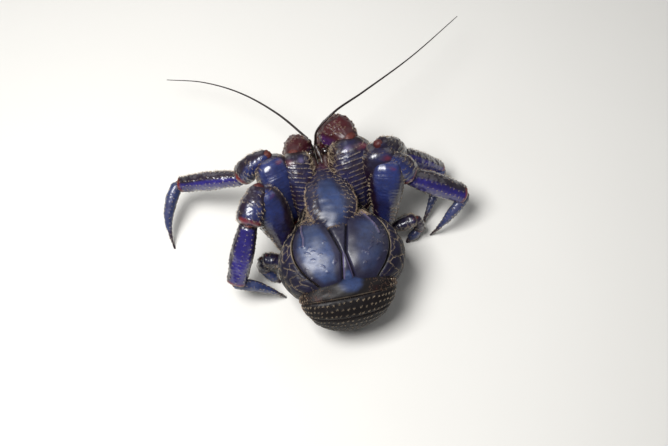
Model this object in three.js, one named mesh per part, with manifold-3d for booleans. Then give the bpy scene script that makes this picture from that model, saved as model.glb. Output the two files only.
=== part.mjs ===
// Coconut crab (Birgus latro), a life-size still model of an adult male at rest.
// Millimetres, +Z up, head towards +Y, the crab's left towards -X.
// The origin is on the floor, at the middle of the flat under the belly that the crab rests on.
import * as THREE from 'three';
import { mergeVertices } from 'three/addons/utils/BufferGeometryUtils.js';
import Module from 'manifold-3d';

const wasm = await Module();
wasm.setup();

// Driving dimensions
const GAP = 0.3; // clearance between neighbouring shell pieces
const SINK = 0.8; // how far a foot is trimmed to make its small flat on the floor
const REAR_Y = -2; // rear margin of the carapace
const GROOVE_Y = 45; // neck groove, where the front shield ends
const ROSTRUM_Y = 112; // tip of the front shield
const FLANK_HALF_WIDTH = 52; // widest half of the carapace
const CARAPACE_TOP_Z = 73;
const SHIELD_HALF_WIDTH = 20.5;
const SHIELD_TOP_Z = 77;
const TAIL_PIVOT = { y: 8, z: 29 }; // the abdomen curls round this axis

const PLATE = { color: 0x3b4a74, roughness: 0.25, metalness: 0.05 };
const FLANK = { color: 0x1b1a28, roughness: 0.45, metalness: 0 };
const TAIL = { color: 0x17151b, roughness: 0.4, metalness: 0 };
const SKIN = { color: 0x5a3f35, roughness: 0.7, metalness: 0 };
const LEG = { color: 0x2c2f6e, roughness: 0.28, metalness: 0.05 };
const CLAW = { color: 0x4a1c26, roughness: 0.3, metalness: 0.05 };
const FEELER = { color: 0x3a1d1a, roughness: 0.4, metalness: 0 };
const EYE = { color: 0x0b0a0c, roughness: 0.08, metalness: 0 };

const rad = THREE.MathUtils.degToRad;
const lerp = THREE.MathUtils.lerp;
const vec = (x, y, z) => new THREE.Vector3(x, y, z);
const ease = (t) => t * t * (3 - 2 * t);

// A smooth curve through [x, value] keys, flat beyond its ends.
function through(...keys) {
  const slope = keys.map((k, i) => {
    const a = keys[Math.max(0, i - 1)];
    const b = keys[Math.min(keys.length - 1, i + 1)];
    return (b[1] - a[1]) / (b[0] - a[0]);
  });
  return (x) => {
    if (x <= keys[0][0]) return keys[0][1];
    const i = keys.findIndex((k) => k[0] >= x);
    if (i < 0) return keys.at(-1)[1];
    const [a, b] = [keys[i - 1], keys[i]];
    const w = b[0] - a[0];
    const t = (x - a[0]) / w;
    const bend = (1 - t) * (slope[i - 1] * w - (b[1] - a[1])) - t * (slope[i] * w - (b[1] - a[1]));
    return lerp(a[1], b[1], t) + t * (1 - t) * bend;
  };
}

// A closed skin over rings of points, all rings alike in number, with a point at each end's middle.
function skin(rings) {
  const sides = rings[0].length;
  const middle = (ring) => ring.reduce((m, p) => m.add(p), vec(0, 0, 0)).divideScalar(sides);
  const points = [...rings.flat(), middle(rings[0]), middle(rings.at(-1))];
  const [first, last] = [points.length - 2, points.length - 1];
  const faces = [];
  for (let i = 0; i < sides; i++) {
    const j = (i + 1) % sides;
    for (let r = 0; r + 1 < rings.length; r++) {
      const [a, b] = [r * sides, (r + 1) * sides];
      faces.push(a + i, a + j, b + j, a + i, b + j, b + i);
    }
    const end = (rings.length - 1) * sides;
    faces.push(first, j, i, last, end + i, end + j);
  }
  const geometry = new THREE.BufferGeometry();
  geometry.setAttribute('position', new THREE.Float32BufferAttribute(points.flatMap((p) => p.toArray()), 3));
  geometry.setIndex(faces);
  return geometry;
}

// A ring round `at`: half sizes along `across` and `up`, square-cornered as `power` rises above 2.
function ring(at, across, up, sides, power = 2) {
  return Array.from({ length: sides }, (_, i) => {
    const a = (i / sides) * 2 * Math.PI;
    const soften = (v) => Math.sign(v) * Math.abs(v) ** (2 / power);
    return at.clone().addScaledVector(across, soften(Math.cos(a))).addScaledVector(up, soften(Math.sin(a)));
  });
}

// A round rod through points, tapering from its first radius to its last.
function rod(points, radii, steps, sides, grow) {
  const path = new THREE.CatmullRomCurve3(points);
  const frames = path.computeFrenetFrames(steps);
  const rings = [];
  for (let i = 0; i <= steps; i++) {
    const t = i / steps;
    const r = lerp(radii[0], radii[1], t) + grow;
    const across = frames.normals[i].clone().multiplyScalar(r);
    const up = frames.binormals[i].clone().multiplyScalar(r);
    rings.push(ring(path.getPointAt(t), across, up, sides));
  }
  return toSolid(skin(rings));
}

function toSolid(geometry) {
  const bare = geometry.clone();
  bare.deleteAttribute('normal');
  bare.deleteAttribute('uv');
  const merged = mergeVertices(bare, 1e-4);
  const made = new wasm.Manifold(
    new wasm.Mesh({
      numProp: 3,
      vertProperties: new Float32Array(merged.attributes.position.array),
      triVerts: new Uint32Array(merged.index.array),
    }),
  );
  if (made.volume() > 0) return made;
  const turned = merged.index.array.slice();
  for (let i = 0; i < turned.length; i += 3) [turned[i + 1], turned[i + 2]] = [turned[i + 2], turned[i + 1]];
  merged.setIndex(new THREE.BufferAttribute(turned, 1));
  return toSolid(merged);
}

function toGeometry(solid) {
  const mesh = solid.getMesh();
  const geometry = new THREE.BufferGeometry();
  geometry.setAttribute('position', new THREE.BufferAttribute(mesh.vertProperties, 3));
  geometry.setIndex(new THREE.BufferAttribute(mesh.triVerts, 1));
  return geometry;
}

const box = (low, high) => {
  const size = high.clone().sub(low);
  const middle = low.clone().add(high).divideScalar(2);
  return toSolid(new THREE.BoxGeometry(size.x, size.y, size.z).translate(middle.x, middle.y, middle.z));
};

// A prism that stands on the plan outline `points`, from z 0 to well above the crab.
function prism(points) {
  const outline = new THREE.Shape(points.map(([x, y]) => new THREE.Vector2(x, y)));
  return toSolid(new THREE.ExtrudeGeometry(outline, { depth: 120, bevelEnabled: false }));
}

// Each make function returns a solid, larger all round by `grow`, which its neighbours are cut by.
const crab = new THREE.Group();
const order = [];

function part(name, finish, make, home = crab) {
  const mesh = new THREE.Mesh(toGeometry(make(0)), new THREE.MeshStandardMaterial(finish));
  mesh.name = name;
  mesh.userData.make = make;
  home.add(mesh);
  order.push(mesh);
  return mesh;
}

// Thorax: one body, parted by the sutures into shell plates

const thoraxWidth = through([REAR_Y, 28], [4, 41], [14, 49.5], [28, FLANK_HALF_WIDTH], [46, 46], [62, 33], [80, 22]);
const thoraxTop = through([REAR_Y, 61], [4, 66], [12, 70], [28, CARAPACE_TOP_Z], [46, 73], [62, 67], [80, 60]);
const thoraxBottom = through([REAR_Y, 34], [4, 29], [14, 24], [34, 17], [60, 17], [80, 24]);

function thorax(grow) {
  const steps = 8;
  const rings = [];
  for (let i = 0; i <= steps; i++) {
    const y = lerp(REAR_Y - grow, 80 + grow, (i / steps) ** 1.2);
    const [top, bottom] = [thoraxTop(y) + grow, thoraxBottom(y) - grow];
    const at = vec(0, y, lerp(bottom, top, 0.5));
    rings.push(ring(at, vec(thoraxWidth(y) + grow, 0, 0), vec(0, 0, (top - bottom) / 2), 18, 2.5));
  }
  return toSolid(skin(rings));
}

const FLOOR_OF_SHELL_Z = 27; // below this the thorax is its underside
const WAIST = { y: 21, half: 1.6 }; // where the heart plate is narrowest
const HEART_FRONT_HALF = 8;
const HEART_REAR_HALF = 7;
const sideLine = through([-12, 15], [REAR_Y, 22], [10, 33], [24, 39], [38, 39], [50, 34], [64, 24], [84, 15]);
const PLATE_STEPS = 5;

function sideLinePoints(side) {
  return Array.from({ length: PLATE_STEPS + 1 }, (_, i) => {
    const y = lerp(-12, 84, i / PLATE_STEPS);
    return [side * sideLine(y), y];
  });
}

function heartPoints(side) {
  return [
    [side * HEART_REAR_HALF, -12],
    [side * WAIST.half, WAIST.y],
    [side * HEART_FRONT_HALF, GROOVE_Y + 2],
    [side * HEART_FRONT_HALF, 84],
  ];
}

// A thin upright wall along a plan line, which parts the plates on its two sides.
function suture(points) {
  const walls = points.slice(1).map((b, i) => {
    const a = points[i];
    const along = Math.hypot(b[0] - a[0], b[1] - a[1]) + GAP;
    const wall = new THREE.BoxGeometry(along, GAP, 120);
    wall.rotateZ(Math.atan2(b[1] - a[1], b[0] - a[0]));
    return toSolid(wall.translate((a[0] + b[0]) / 2, (a[1] + b[1]) / 2, 60));
  });
  return walls.reduce((all, w) => all.add(w));
}

const sutures = [1, -1]
  .flatMap((side) => [suture(sideLinePoints(side)), suture(heartPoints(side))])
  .reduce((all, s) => all.add(s));
const plateLevel = (grow) => box(vec(-90, -40, FLOOR_OF_SHELL_Z + GAP - grow), vec(90, 130, 130));

function plate(outline) {
  return (grow) => {
    const made = thorax(grow).intersect(prism(outline)).intersect(plateLevel(grow));
    return grow ? made : made.subtract(sutures);
  };
}

part('carapace_heart', PLATE, plate([...heartPoints(1), ...heartPoints(-1).reverse()]));
for (const [name, side] of [['left', -1], ['right', 1]]) {
  part('carapace_gill_' + name, PLATE, plate([...sideLinePoints(side), ...heartPoints(side).reverse()]));
  const edge = [[side * 80, 84], [side * 80, -12]];
  part('carapace_flank_' + name, FLANK, plate([...sideLinePoints(side), ...edge]));
}
part('thorax_underside', SKIN, (grow) => {
  const level = box(vec(-90, -40, 0), vec(90, 130, FLOOR_OF_SHELL_Z + grow));
  return thorax(grow).intersect(level);
});

// Front shield, with the pointed rostrum at its tip, and the face and mouthparts under it

const shieldWidth = through(
  [GROOVE_Y - 2, 5], [48, 13], [56, 18.5], [66, SHIELD_HALF_WIDTH], [82, 18.5], [96, 13], [106, 6], [ROSTRUM_Y, 1.2],
);
const shieldTop = through([GROOVE_Y - 2, 72], [54, SHIELD_TOP_Z], [72, 78], [90, 74], [ROSTRUM_Y, 64]);
const SHIELD_THICKNESS = 16;

function shield(grow) {
  const steps = 8;
  const rings = [];
  for (let i = 0; i <= steps; i++) {
    const y = lerp(GROOVE_Y - 2 - grow, ROSTRUM_Y + grow, i / steps);
    const width = shieldWidth(y);
    const deep = SHIELD_THICKNESS * Math.min(1, 0.3 + width / SHIELD_HALF_WIDTH);
    const at = vec(0, y, shieldTop(y) - deep / 2);
    rings.push(ring(at, vec(width + grow, 0, 0), vec(0, 0, deep / 2 + grow), 14, 2.2));
  }
  return toSolid(skin(rings));
}

part('shield', PLATE, shield);

const faceWidth = through([66, 20], [84, 17], [98, 12], [106, 8]);
const faceTop = through([66, 62], [84, 63], [98, 60], [106, 58]);
const faceBottom = through([66, 26], [84, 30], [98, 38], [106, 45]);

part('face', SKIN, (grow) => {
  const rings = [];
  for (let i = 0; i <= 4; i++) {
    const y = lerp(66 - grow, 106 + grow, i / 4);
    const [top, bottom] = [faceTop(y) + grow, faceBottom(y) - grow];
    rings.push(ring(vec(0, y, (top + bottom) / 2), vec(faceWidth(y) + grow, 0, 0), vec(0, 0, (top - bottom) / 2), 10));
  }
  return toSolid(skin(rings));
});

for (const [side, sign] of [['left', -1], ['right', 1]]) {
  const jaw = [vec(sign * 4.6, 84, 28), vec(sign * 4.6, 94, 33), vec(sign * 4, 102, 43)];
  part('maxilliped_' + side, SKIN, (grow) => rod(jaw, [4, 2.6], 3, 6, grow));
}

// Abdomen: rings fan round the pivot from the carapace, over the back and under the belly

const FAN_END = 178; // degrees from straight up, turning backwards and then under
const tailOuter = through([0, 33], [25, 37], [50, 39], [75, 37], [95, 34], [120, 31.5], [150, 32.5], [FAN_END, 30.8]);
const tailWidth = through([0, 34], [25, 39], [50, 37], [75, 31.5], [100, 26.5], [140, 23], [FAN_END, 21]);
const tailSplit = through([0, 14], [60, 19], [110, 15], [FAN_END, 10]);
const TAIL_INNER = 4;
const TAIL_SWING = -2; // the abdomen leans this far to the crab's right at its rear, so it leans left

function fanPoint(degrees, radius) {
  const a = rad(degrees);
  return vec(0, TAIL_PIVOT.y - radius * Math.sin(a), TAIL_PIVOT.z + radius * Math.cos(a));
}

function abdomen(grow) {
  const steps = 9;
  const rings = [];
  for (let i = 0; i <= steps; i++) {
    const degrees = lerp(-2, FAN_END, i / steps);
    const [inner, outer] = [TAIL_INNER - grow, tailOuter(degrees) + grow];
    const at = fanPoint(degrees, (inner + outer) / 2);
    at.x = TAIL_SWING * Math.sin(rad(degrees));
    const up = fanPoint(degrees, outer).sub(fanPoint(degrees, inner)).divideScalar(2);
    rings.push(ring(at, vec(tailWidth(degrees) + grow, 0, 0), up, 12, 2.15));
  }
  return toSolid(skin(rings));
}

// A sector of the fan between two angles, from the pivot out to `reach`, as wide as the crab.
function sector(from, to, reach) {
  const steps = 2;
  const outline = [new THREE.Vector2(TAIL_PIVOT.y, TAIL_PIVOT.z)];
  for (let i = 0; i <= steps; i++) {
    const degrees = lerp(from, to, i / steps);
    const p = fanPoint(degrees, reach(degrees));
    outline.push(new THREE.Vector2(p.y, p.z));
  }
  const wedge = new THREE.ExtrudeGeometry(new THREE.Shape(outline), { depth: 140, bevelEnabled: false });
  wedge.applyMatrix4(new THREE.Matrix4().makeBasis(vec(0, 1, 0), vec(0, 0, 1), vec(1, 0, 0)));
  return toSolid(wedge.translate(-70, 0, 0));
}

// The space inside the back plates, wider than the crab, that the flesh fills
const CORE = { from: -4, to: 140, steps: 3, half: 60, sides: 4 };

function core(grow) {
  const rings = [];
  for (let i = 0; i <= CORE.steps; i++) {
    const degrees = lerp(CORE.from, CORE.to, i / CORE.steps);
    const at = fanPoint(degrees, tailSplit(degrees) / 2);
    const up = fanPoint(degrees, tailSplit(degrees) + grow).sub(fanPoint(degrees, 0)).divideScalar(2);
    rings.push(ring(at, vec(CORE.half, 0, 0), up, CORE.sides));
  }
  return toSolid(skin(rings));
}

const TERGITE_EDGES = [3, 34, 59, 83, 106, 129];
const HALF_SEAM = 0.25; // degrees
TERGITE_EDGES.slice(1).forEach((to, i) => {
  const from = TERGITE_EDGES[i];
  part('tergite_' + (i + 1), TAIL, (grow) => {
    const spread = grow ? HALF_SEAM : -HALF_SEAM;
    return abdomen(grow).subtract(core(-grow)).intersect(sector(from - spread, to + spread, () => 70));
  });
});
part('abdomen_skin', SKIN, abdomen);

// The telson and its side blades, folded flat under the belly, from its root at the rear to its rounded front
const TAIL_FAN = { rear: 6, front: 42, half: 22, rearZ: 9, frontZ: 7.5, rearRise: 10, frontRise: 6 };
part('tail_fan', TAIL, (grow) => {
  const f = TAIL_FAN;
  const rings = [];
  for (let i = 0; i <= 4; i++) {
    const t = i / 4;
    const half = f.half * Math.sqrt(1 - 0.75 * t * t) + grow;
    const at = vec(TAIL_SWING * (1 - t), lerp(f.rear - grow, f.front + grow, t), lerp(f.rearZ, f.frontZ, t));
    rings.push(ring(at, vec(half, 0, 0), vec(0, 0, lerp(f.rearRise, f.frontRise, t) + grow), 10, 2.4));
  }
  return toSolid(skin(rings));
});

// Limbs

// How a segment swells: `neck` and `tip` are its sizes at the two ends, as shares of its full size at `belly`.
const swell = ({ neck, tip, belly }) => (t) =>
  t < belly ? lerp(neck, 1, ease(t / belly)) : lerp(1, tip, ease((t - belly) / (1 - belly)));

const MERUS = { neck: 0.56, tip: 0.86, belly: 0.7, power: 2.4, dome: 0.3 };
const CARPUS = { neck: 0.6, tip: 0.92, belly: 0.65, power: 2.3, dome: 0.25 };
const PROPODUS = { neck: 0.78, tip: 0.86, belly: 0.45, power: 2.5, dome: 0.2 };
const DACTYL = { neck: 0.95, tip: 0.14, belly: 0.2, power: 2.1, dome: 0.3 };
const PALM = { neck: 0.5, tip: 0.86, belly: 0.55, power: 2.5, dome: 0.2 };
const FINGER = { neck: 1, tip: 0.16, belly: 0.1, power: 2.2, dome: 0.3 };
const PINCER = { neck: 0.75, tip: 0.35, belly: 0.5, power: 2.2, dome: 0.3 };

// A limb segment along its own +Y from the origin, `arch` bowing its middle up along +Z.
function segment({ long, wide, high, arch = 0, lean = 0 }, form, grow, sides = 8) {
  const size = swell(form);
  const rings = [];
  const round = 2;
  const add = (t, share) => {
    const at = vec(lean * 4 * t * (1 - t), t * long, arch * 4 * t * (1 - t));
    const across = Math.max(0.25, (size(t) * share * wide) / 2) + grow;
    const up = Math.max(0.25, (size(t) * share * high) / 2) + grow;
    rings.push(ring(at, vec(across, 0, 0), vec(0, 0, up), sides, form.power));
  };
  // the ends are domes, whose rings close in along a quarter circle
  const dome = (form.dome * wide) / long;
  for (let i = 0; i < round; i++) {
    const a = (i / round) * (Math.PI / 2);
    add(dome * (1 - Math.cos(a)), Math.max(0.35, Math.sin(a)));
  }
  for (let i = 0; i <= 2; i++) add(lerp(dome, 1 - dome * form.tip, i / 2), 1);
  for (let i = round - 1; i >= 0; i--) {
    const a = (i / round) * (Math.PI / 2);
    add(1 - dome * form.tip * (1 - Math.cos(a)), Math.max(0.35, Math.sin(a)));
  }
  if (grow) {
    rings[0].forEach((p) => (p.y -= grow));
    rings.at(-1).forEach((p) => (p.y += grow));
  }
  return toSolid(skin(rings));
}

// Azimuth is from +Y towards +X, elevation above the floor, roll about the segment; all in degrees.
function place(object, at, azimuth, elevation, roll = 0) {
  object.position.copy(at);
  object.rotation.set(rad(elevation), rad(roll), -rad(azimuth), 'ZXY');
}

function direction(azimuth, elevation) {
  const [a, e] = [rad(azimuth), rad(elevation)];
  return vec(Math.sin(a) * Math.cos(e), Math.cos(a) * Math.cos(e), Math.sin(e));
}

// The elevation at which a segment of this length comes down from `at` to the floor.
const toFloor = (at, long) => -THREE.MathUtils.radToDeg(Math.asin((at.z + SINK) / long));

const LEG_SIZES = {
  leg_2: {
    merus: { long: 60, wide: 31, high: 27, arch: 1.5 },
    carpus: { long: 34, wide: 19, high: 19, arch: 2 },
    propodus: { long: 59, wide: 14, high: 16, arch: 1 },
    dactyl: { long: 57, wide: 10.5, high: 11, arch: 8 },
  },
  leg_3: {
    merus: { long: 60, wide: 30, high: 26, arch: 1.5 },
    carpus: { long: 32, wide: 22, high: 20, arch: 2 },
    propodus: { long: 54, wide: 19, high: 17, arch: 1 },
    dactyl: { long: 50, wide: 9.5, high: 10.5, arch: 6 },
  },
  leg_4: {
    merus: { long: 27, wide: 12, high: 12 },
    carpus: { long: 16, wide: 10, high: 10 },
    pincer: { long: 18, wide: 8, high: 10 },
  },
};
const FORMS = { merus: MERUS, carpus: CARPUS, propodus: PROPODUS, dactyl: DACTYL, pincer: PINCER };

// Each leg starts at its hip; a segment's turn is [azimuth, elevation], and the last one reaches the floor.
// `bow` rolls the last segment, so that its arch leans to the side.
const LEGS = [
  { pair: 'leg_2', side: 'left', hip: [-31, 78, 36], bow: 50, turns: [[-17, 45], [-97, -42], [-71, -21], [-161]] },
  { pair: 'leg_2', side: 'right', hip: [46, 80, 34], bow: -20, turns: [[5, 68], [80, -54], [87, -46], [-147]] },
  { pair: 'leg_3', side: 'left', hip: [-39, 54, 36], bow: 0, turns: [[-29, 54], [-152, -22], [-146, -54], [102]] },
  { pair: 'leg_3', side: 'right', hip: [45, 60, 34], bow: -35, turns: [[13, 54], [120, -44], [106, -28], [-114]] },
  { pair: 'leg_4', side: 'left', hip: [-38, 46, 19], bow: 0, turns: [[-78, 16], [166, -75], [125]] },
  { pair: 'leg_4', side: 'right', hip: [48, 59, 20], bow: 0, turns: [[86, 14], [124, -75], [-112]] },
];

for (const { pair, side, hip, bow, turns } of LEGS) {
  const leg = new THREE.Group();
  crab.add(leg);
  const sides = pair === 'leg_4' ? 6 : 8;
  let at = vec(...hip);
  Object.entries(LEG_SIZES[pair]).forEach(([kind, size], i) => {
    const last = i === turns.length - 1;
    const [azimuth, elevation = toFloor(at, size.long)] = turns[i];
    const mesh = part(`${pair}_${side}_${kind}`, LEG, (grow) => segment(size, FORMS[kind], grow, sides), leg);
    place(mesh, at, azimuth, elevation, last ? bow : 0);
    at = at.clone().addScaledVector(direction(azimuth, elevation), size.long);
  });
}

// Chelipeds: the left hand is the longer and wider, and the right arm behind its hand is the thicker
const CLAW_ROLL = -90; // the hand turns on its edge
const CLAWS = [
  {
    side: 'right', hip: [24, 73, 34],
    merus: { long: 68, wide: 38, high: 33, arch: 2 }, merusTurn: [3, 45],
    carpus: { long: 33, wide: 30, high: 27, arch: 2 }, carpusTurn: [-24, -34],
    palm: { long: 38, wide: 34, high: 27 }, fingers: 27, chelaTurn: [-155, -84],
  },
  {
    side: 'left', hip: [-18, 72, 32],
    merus: { long: 65, wide: 28, high: 30, arch: 2 }, merusTurn: [-3, 42],
    carpus: { long: 26, wide: 24, high: 27, arch: 2 }, carpusTurn: [24, -52],
    palm: { long: 40, wide: 42, high: 24 }, fingers: 28, chelaTurn: [180, -44],
  },
];

// The palm carries the fixed finger on one side; the movable finger closes on it from the other.
function finger(claw, side, grow) {
  const { palm, fingers } = claw;
  const size = { long: fingers + 6, wide: palm.wide * 0.46, high: palm.high * 0.62, lean: side * palm.wide * 0.12 };
  const made = segment(size, FINGER, grow, 6);
  return made.translate([side * palm.wide * 0.25, palm.long - 6, 0]);
}

for (const claw of CLAWS) {
  const arm = new THREE.Group();
  crab.add(arm);
  const shoulder = vec(...claw.hip);
  const elbow = shoulder.clone().addScaledVector(direction(...claw.merusTurn), claw.merus.long - 3);
  const wrist = elbow.clone().addScaledVector(direction(...claw.carpusTurn), claw.carpus.long - 2);
  const name = (piece) => `claw_${claw.side}_${piece}`;
  place(part(name('merus'), LEG, (grow) => segment(claw.merus, MERUS, grow, 8), arm), shoulder, ...claw.merusTurn);
  place(part(name('carpus'), CLAW, (grow) => segment(claw.carpus, CARPUS, grow, 8), arm), elbow, ...claw.carpusTurn);
  const palm = (grow) => segment(claw.palm, PALM, grow, 8).add(finger(claw, 1, grow));
  place(part(name('palm'), CLAW, palm, arm), wrist, ...claw.chelaTurn, CLAW_ROLL);
  place(part(name('finger'), CLAW, (grow) => finger(claw, -1, grow), arm), wrist, ...claw.chelaTurn, CLAW_ROLL);
}

// Eyes and feelers

const HEAD = [
  {
    side: 'left', sign: -1,
    antenna: [[-5, 100, 54], [-5, 116, 58], [-5, 138, 62]],
    flagellum: [[-5, 138.5, 62], [-25, 172, 58], [-53, 207, 50], [-84, 232, 42], [-116, 248, 34]],
  },
  {
    side: 'right', sign: 1,
    antenna: [[5, 100, 54], [3, 114, 60], [0, 128, 66]],
    flagellum: [[0, 128.5, 66.5], [2, 132, 80], [18, 140, 91], [48, 160, 84], [104, 203, 64], [162, 250, 50]],
  },
];

for (const { side, sign, antenna, flagellum } of HEAD) {
  const points = (list) => list.map((p) => vec(...p));
  const eyeRoot = vec(sign * 4, 103, 63);
  const eyeTip = vec(sign * 6, 117, 67);
  part('eyestalk_' + side, SKIN, (grow) => rod([eyeRoot, eyeTip], [3.2, 3], 2, 6, grow));
  part('eye_' + side, EYE, (grow) => {
    const ball = new THREE.SphereGeometry(3.4 + grow, 8, 6);
    return toSolid(ball.translate(...eyeTip.clone().add(vec(sign * 0.6, 2, 0.4)).toArray()));
  });
  part('antenna_base_' + side, FEELER, (grow) => rod(points(antenna), [3.8, 2.4], 3, 6, grow));
  part('flagellum_' + side, FEELER, (grow) => rod(points(flagellum), [1.3, 0.35], 10, 4, grow));
  const antennule = [vec(sign * 2.4, 104, 50), vec(sign * 2.4, 118, 52), vec(sign * 2.2, 132, 56), vec(sign * 2.2, 142, 48)];
  part('antennule_' + side, FEELER, (grow) => rod(antennule, [1.7, 1], 5, 5, grow));
}

// Every piece is cut by the pieces made before it and by the floor, so that none overlap.
crab.updateMatrixWorld(true);
const floor = box(vec(-400, -400, -100), vec(400, 400, 0));
const done = [];
for (const mesh of order) {
  const world = new THREE.Matrix4().copy(mesh.matrixWorld);
  const moved = (solid) => toSolid(toGeometry(solid).applyMatrix4(world));
  let solid = moved(mesh.userData.make(0)).subtract(floor);
  for (const other of done) solid = solid.subtract(other);
  const biggest = solid.decompose().sort((a, b) => b.volume() - a.volume())[0];
  mesh.geometry = toGeometry(biggest).applyMatrix4(world.clone().invert());
  done.push(moved(mesh.userData.make(GAP)));
  delete mesh.userData.make;
}

export default crab;
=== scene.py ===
"""A coconut crab, life size, at rest on a pale floor: plates, limbs, skin and bristles round the frame."""

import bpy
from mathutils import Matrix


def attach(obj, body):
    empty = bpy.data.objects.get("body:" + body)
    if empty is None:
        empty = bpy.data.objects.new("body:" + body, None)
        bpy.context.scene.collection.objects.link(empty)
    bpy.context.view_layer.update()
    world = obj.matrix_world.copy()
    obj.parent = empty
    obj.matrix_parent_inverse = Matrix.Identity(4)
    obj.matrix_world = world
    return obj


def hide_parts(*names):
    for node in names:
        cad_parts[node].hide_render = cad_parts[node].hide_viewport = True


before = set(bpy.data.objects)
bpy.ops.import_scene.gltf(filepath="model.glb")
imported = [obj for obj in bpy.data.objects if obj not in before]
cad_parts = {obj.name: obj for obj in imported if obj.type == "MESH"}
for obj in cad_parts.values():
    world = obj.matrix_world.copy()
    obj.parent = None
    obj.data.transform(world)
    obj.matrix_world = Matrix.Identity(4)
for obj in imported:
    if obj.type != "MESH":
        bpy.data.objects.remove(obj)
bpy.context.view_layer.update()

import math

import bpy
import numpy as np
from mathutils import Matrix, Vector
from mathutils.kdtree import KDTree

bl_info = {
    "name": "Coconut crab",
    "version": (1, 0, 0),
    "blender": (4, 5, 0),
    "location": "View3D > Sidebar > Coconut crab",
    "description": "Builds a life-size coconut crab around its packed frame",
    "category": "Add Mesh",
}

MM = 0.001
BODY = "root"
TAU = 2 * math.pi
CAMERA_PLACE = (-77.4, -293.2, 729.9)  # millimetres
PLATE_THICKNESS = 1.6  # millimetres
ROOT_FLOOR = 2.2  # no bristle starts lower than this, so that none reaches into the floor
ROOT_DEPTH = 0.15  # how far a bristle's root sits in the shell, in millimetres
FLOW_APART = 7.0  # millimetres between the grain patterns of two surfaces
TILES = 8  # surfaces in each row of the bristles' map
PATCH = 0.003  # side of a bristle's patch on that map


def colour(text):
    """A hexadecimal screen colour as linear red, green and blue."""
    parts = [int(text[i : i + 2], 16) / 255 for i in (0, 2, 4)]
    return tuple(c / 12.92 if c <= 0.04045 else ((c + 0.055) / 1.055) ** 2.4 for c in parts)


def swatch(name, description, text):
    """A colour property."""
    return bpy.props.FloatVectorProperty(
        name=name, description=description, subtype="COLOR", size=3, min=0, max=1, default=colour(text)
    )


def length(name, description, metres):
    """A length property, in metres."""
    return bpy.props.FloatProperty(
        name=name, description=description, subtype="DISTANCE", unit="LENGTH", min=0, default=metres
    )


def number(name, description, value, low=0.0, high=100.0):
    """A plain number property."""
    return bpy.props.FloatProperty(name=name, description=description, min=low, max=high, default=value)


def wattage(name, description, watts):
    """The power of a light."""
    return bpy.props.FloatProperty(name=name, description=description, unit="POWER", default=watts)


def bearing(name, description, degrees):
    """An angle property, given in degrees."""
    return bpy.props.FloatProperty(
        name=name, description=description, subtype="ANGLE", default=math.radians(degrees)
    )


class CrabShell(bpy.types.PropertyGroup):
    """Sizes of the shell's fine shapes."""

    cell: length("Mesh cell", "Side of a mesh face on the shell", 0.00065)
    groove: length("Groove depth", "How far a plate's edge rolls down", 0.0016)
    roll: length("Edge roll", "Width of the rolled edge of a plate", 0.0016)
    ridge_height: length("Ridge height", "Height of the ridges that carry bristles", 0.00045)
    ridge_width: length("Ridge width", "Half width of those ridges", 0.0005)


class CrabBristles(bpy.types.PropertyGroup):
    """Sizes of the bristles that grow on the ridges."""

    spacing: length("Spacing", "Distance between bristle tufts along a ridge", 0.00042)
    span: length("Length", "Length of a bristle tuft", 0.0017)
    width: length("Width", "Width of a bristle tuft at its root", 0.00032)
    curl: number("Curl", "How far a tuft's tip bends back to the shell, as a share of its length", 0.25, 0, 1)
    seed: bpy.props.IntProperty(name="Seed", description="Seed of the random lie and length", default=4)


class CrabColours(bpy.types.PropertyGroup):
    """Colours of the crab."""

    plate_blue: swatch("Plate blue", "Slate blue of the gill plates and shield", "26375f")
    plate_deep: swatch("Plate deep", "Violet-black of the plates' edges", "0e0c1e")
    flank: swatch("Flank", "Near-black of the carapace's sides", "0d080d")
    edge_brown: swatch("Edge brown", "Red-brown of the shield's front and rims", "200b0a")
    # On the legs' upper segments this blue is laid where they face the light, so it is partly painted sheen.
    leg_blue: swatch("Leg blue", "Blue of the upper sides of the legs", "1f2b60")
    leg_violet: swatch("Leg violet", "Violet of the legs' lower segments", "221a6c")
    leg_deep: swatch("Leg deep", "Maroon-black of the legs' sides", "180a20")
    claw_maroon: swatch("Claw maroon", "Maroon of the claws", "3c0a12")
    claw_deep: swatch("Claw deep", "Purple-black of the claws", "1c0912")
    blush: swatch("Blush", "Red patches beside the joints", "7a1c10")
    membrane: swatch("Membrane", "Orange skin in the joints", "521a10")
    # Under is the undersides' own red-brown and also the painted shade on limb sides turned away from the
    # light.
    under: swatch("Under", "Red-brown of the undersides of the limbs", "1e0c0c")
    tail: swatch("Tail", "Black-brown of the back plates", "0d0708")
    skin: swatch("Skin", "Soft skin under the body", "2e1d18")
    plate_violet: swatch("Plate violet", "Violet between the blue of a plate and its edge", "15122e")
    claw_violet: swatch("Claw violet", "Violet inner faces of the claws", "4a2560")
    # Pale violet also gives the painted highlights on the legs, feet and claw arms.
    pale_violet: swatch("Pale violet", "Pale rims and seams", "6a6088")
    foot: swatch("Foot", "Mauve-grey of the feet", "2a1c2a")
    foot_blue: swatch("Foot blue", "Steel blue on top of the feet", "2c3862")
    bristle: swatch("Bristle", "Pale tan of the bristles", "b8a58a")
    rust: swatch("Rust", "Tan-orange of the thick fringes", "6f4630")
    feeler: swatch("Feeler", "Dark brown of the feelers", "1e100e")
    eye: swatch("Eye", "Red-black of the eyes", "0c0505")


class CrabStage(bpy.types.PropertyGroup):
    """Floor, light and camera."""

    floor: swatch("Floor", "Pale floor", "dcdad5")
    key: wattage("Key", "Power of the main light", 12)
    fill: wattage("Fill", "Power of the fill light", 1.4)
    sky: number("Sky", "Strength of the even light all round", 0.15)
    turn: bearing("Turn", "Heading of the camera, from +Y towards +X", 12.5)
    dip: bearing("Dip", "How far the camera looks down", 62)
    lens: number("Lens", "Focal length in millimetres on a 36 mm sensor", 50, 1, 500)


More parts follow.
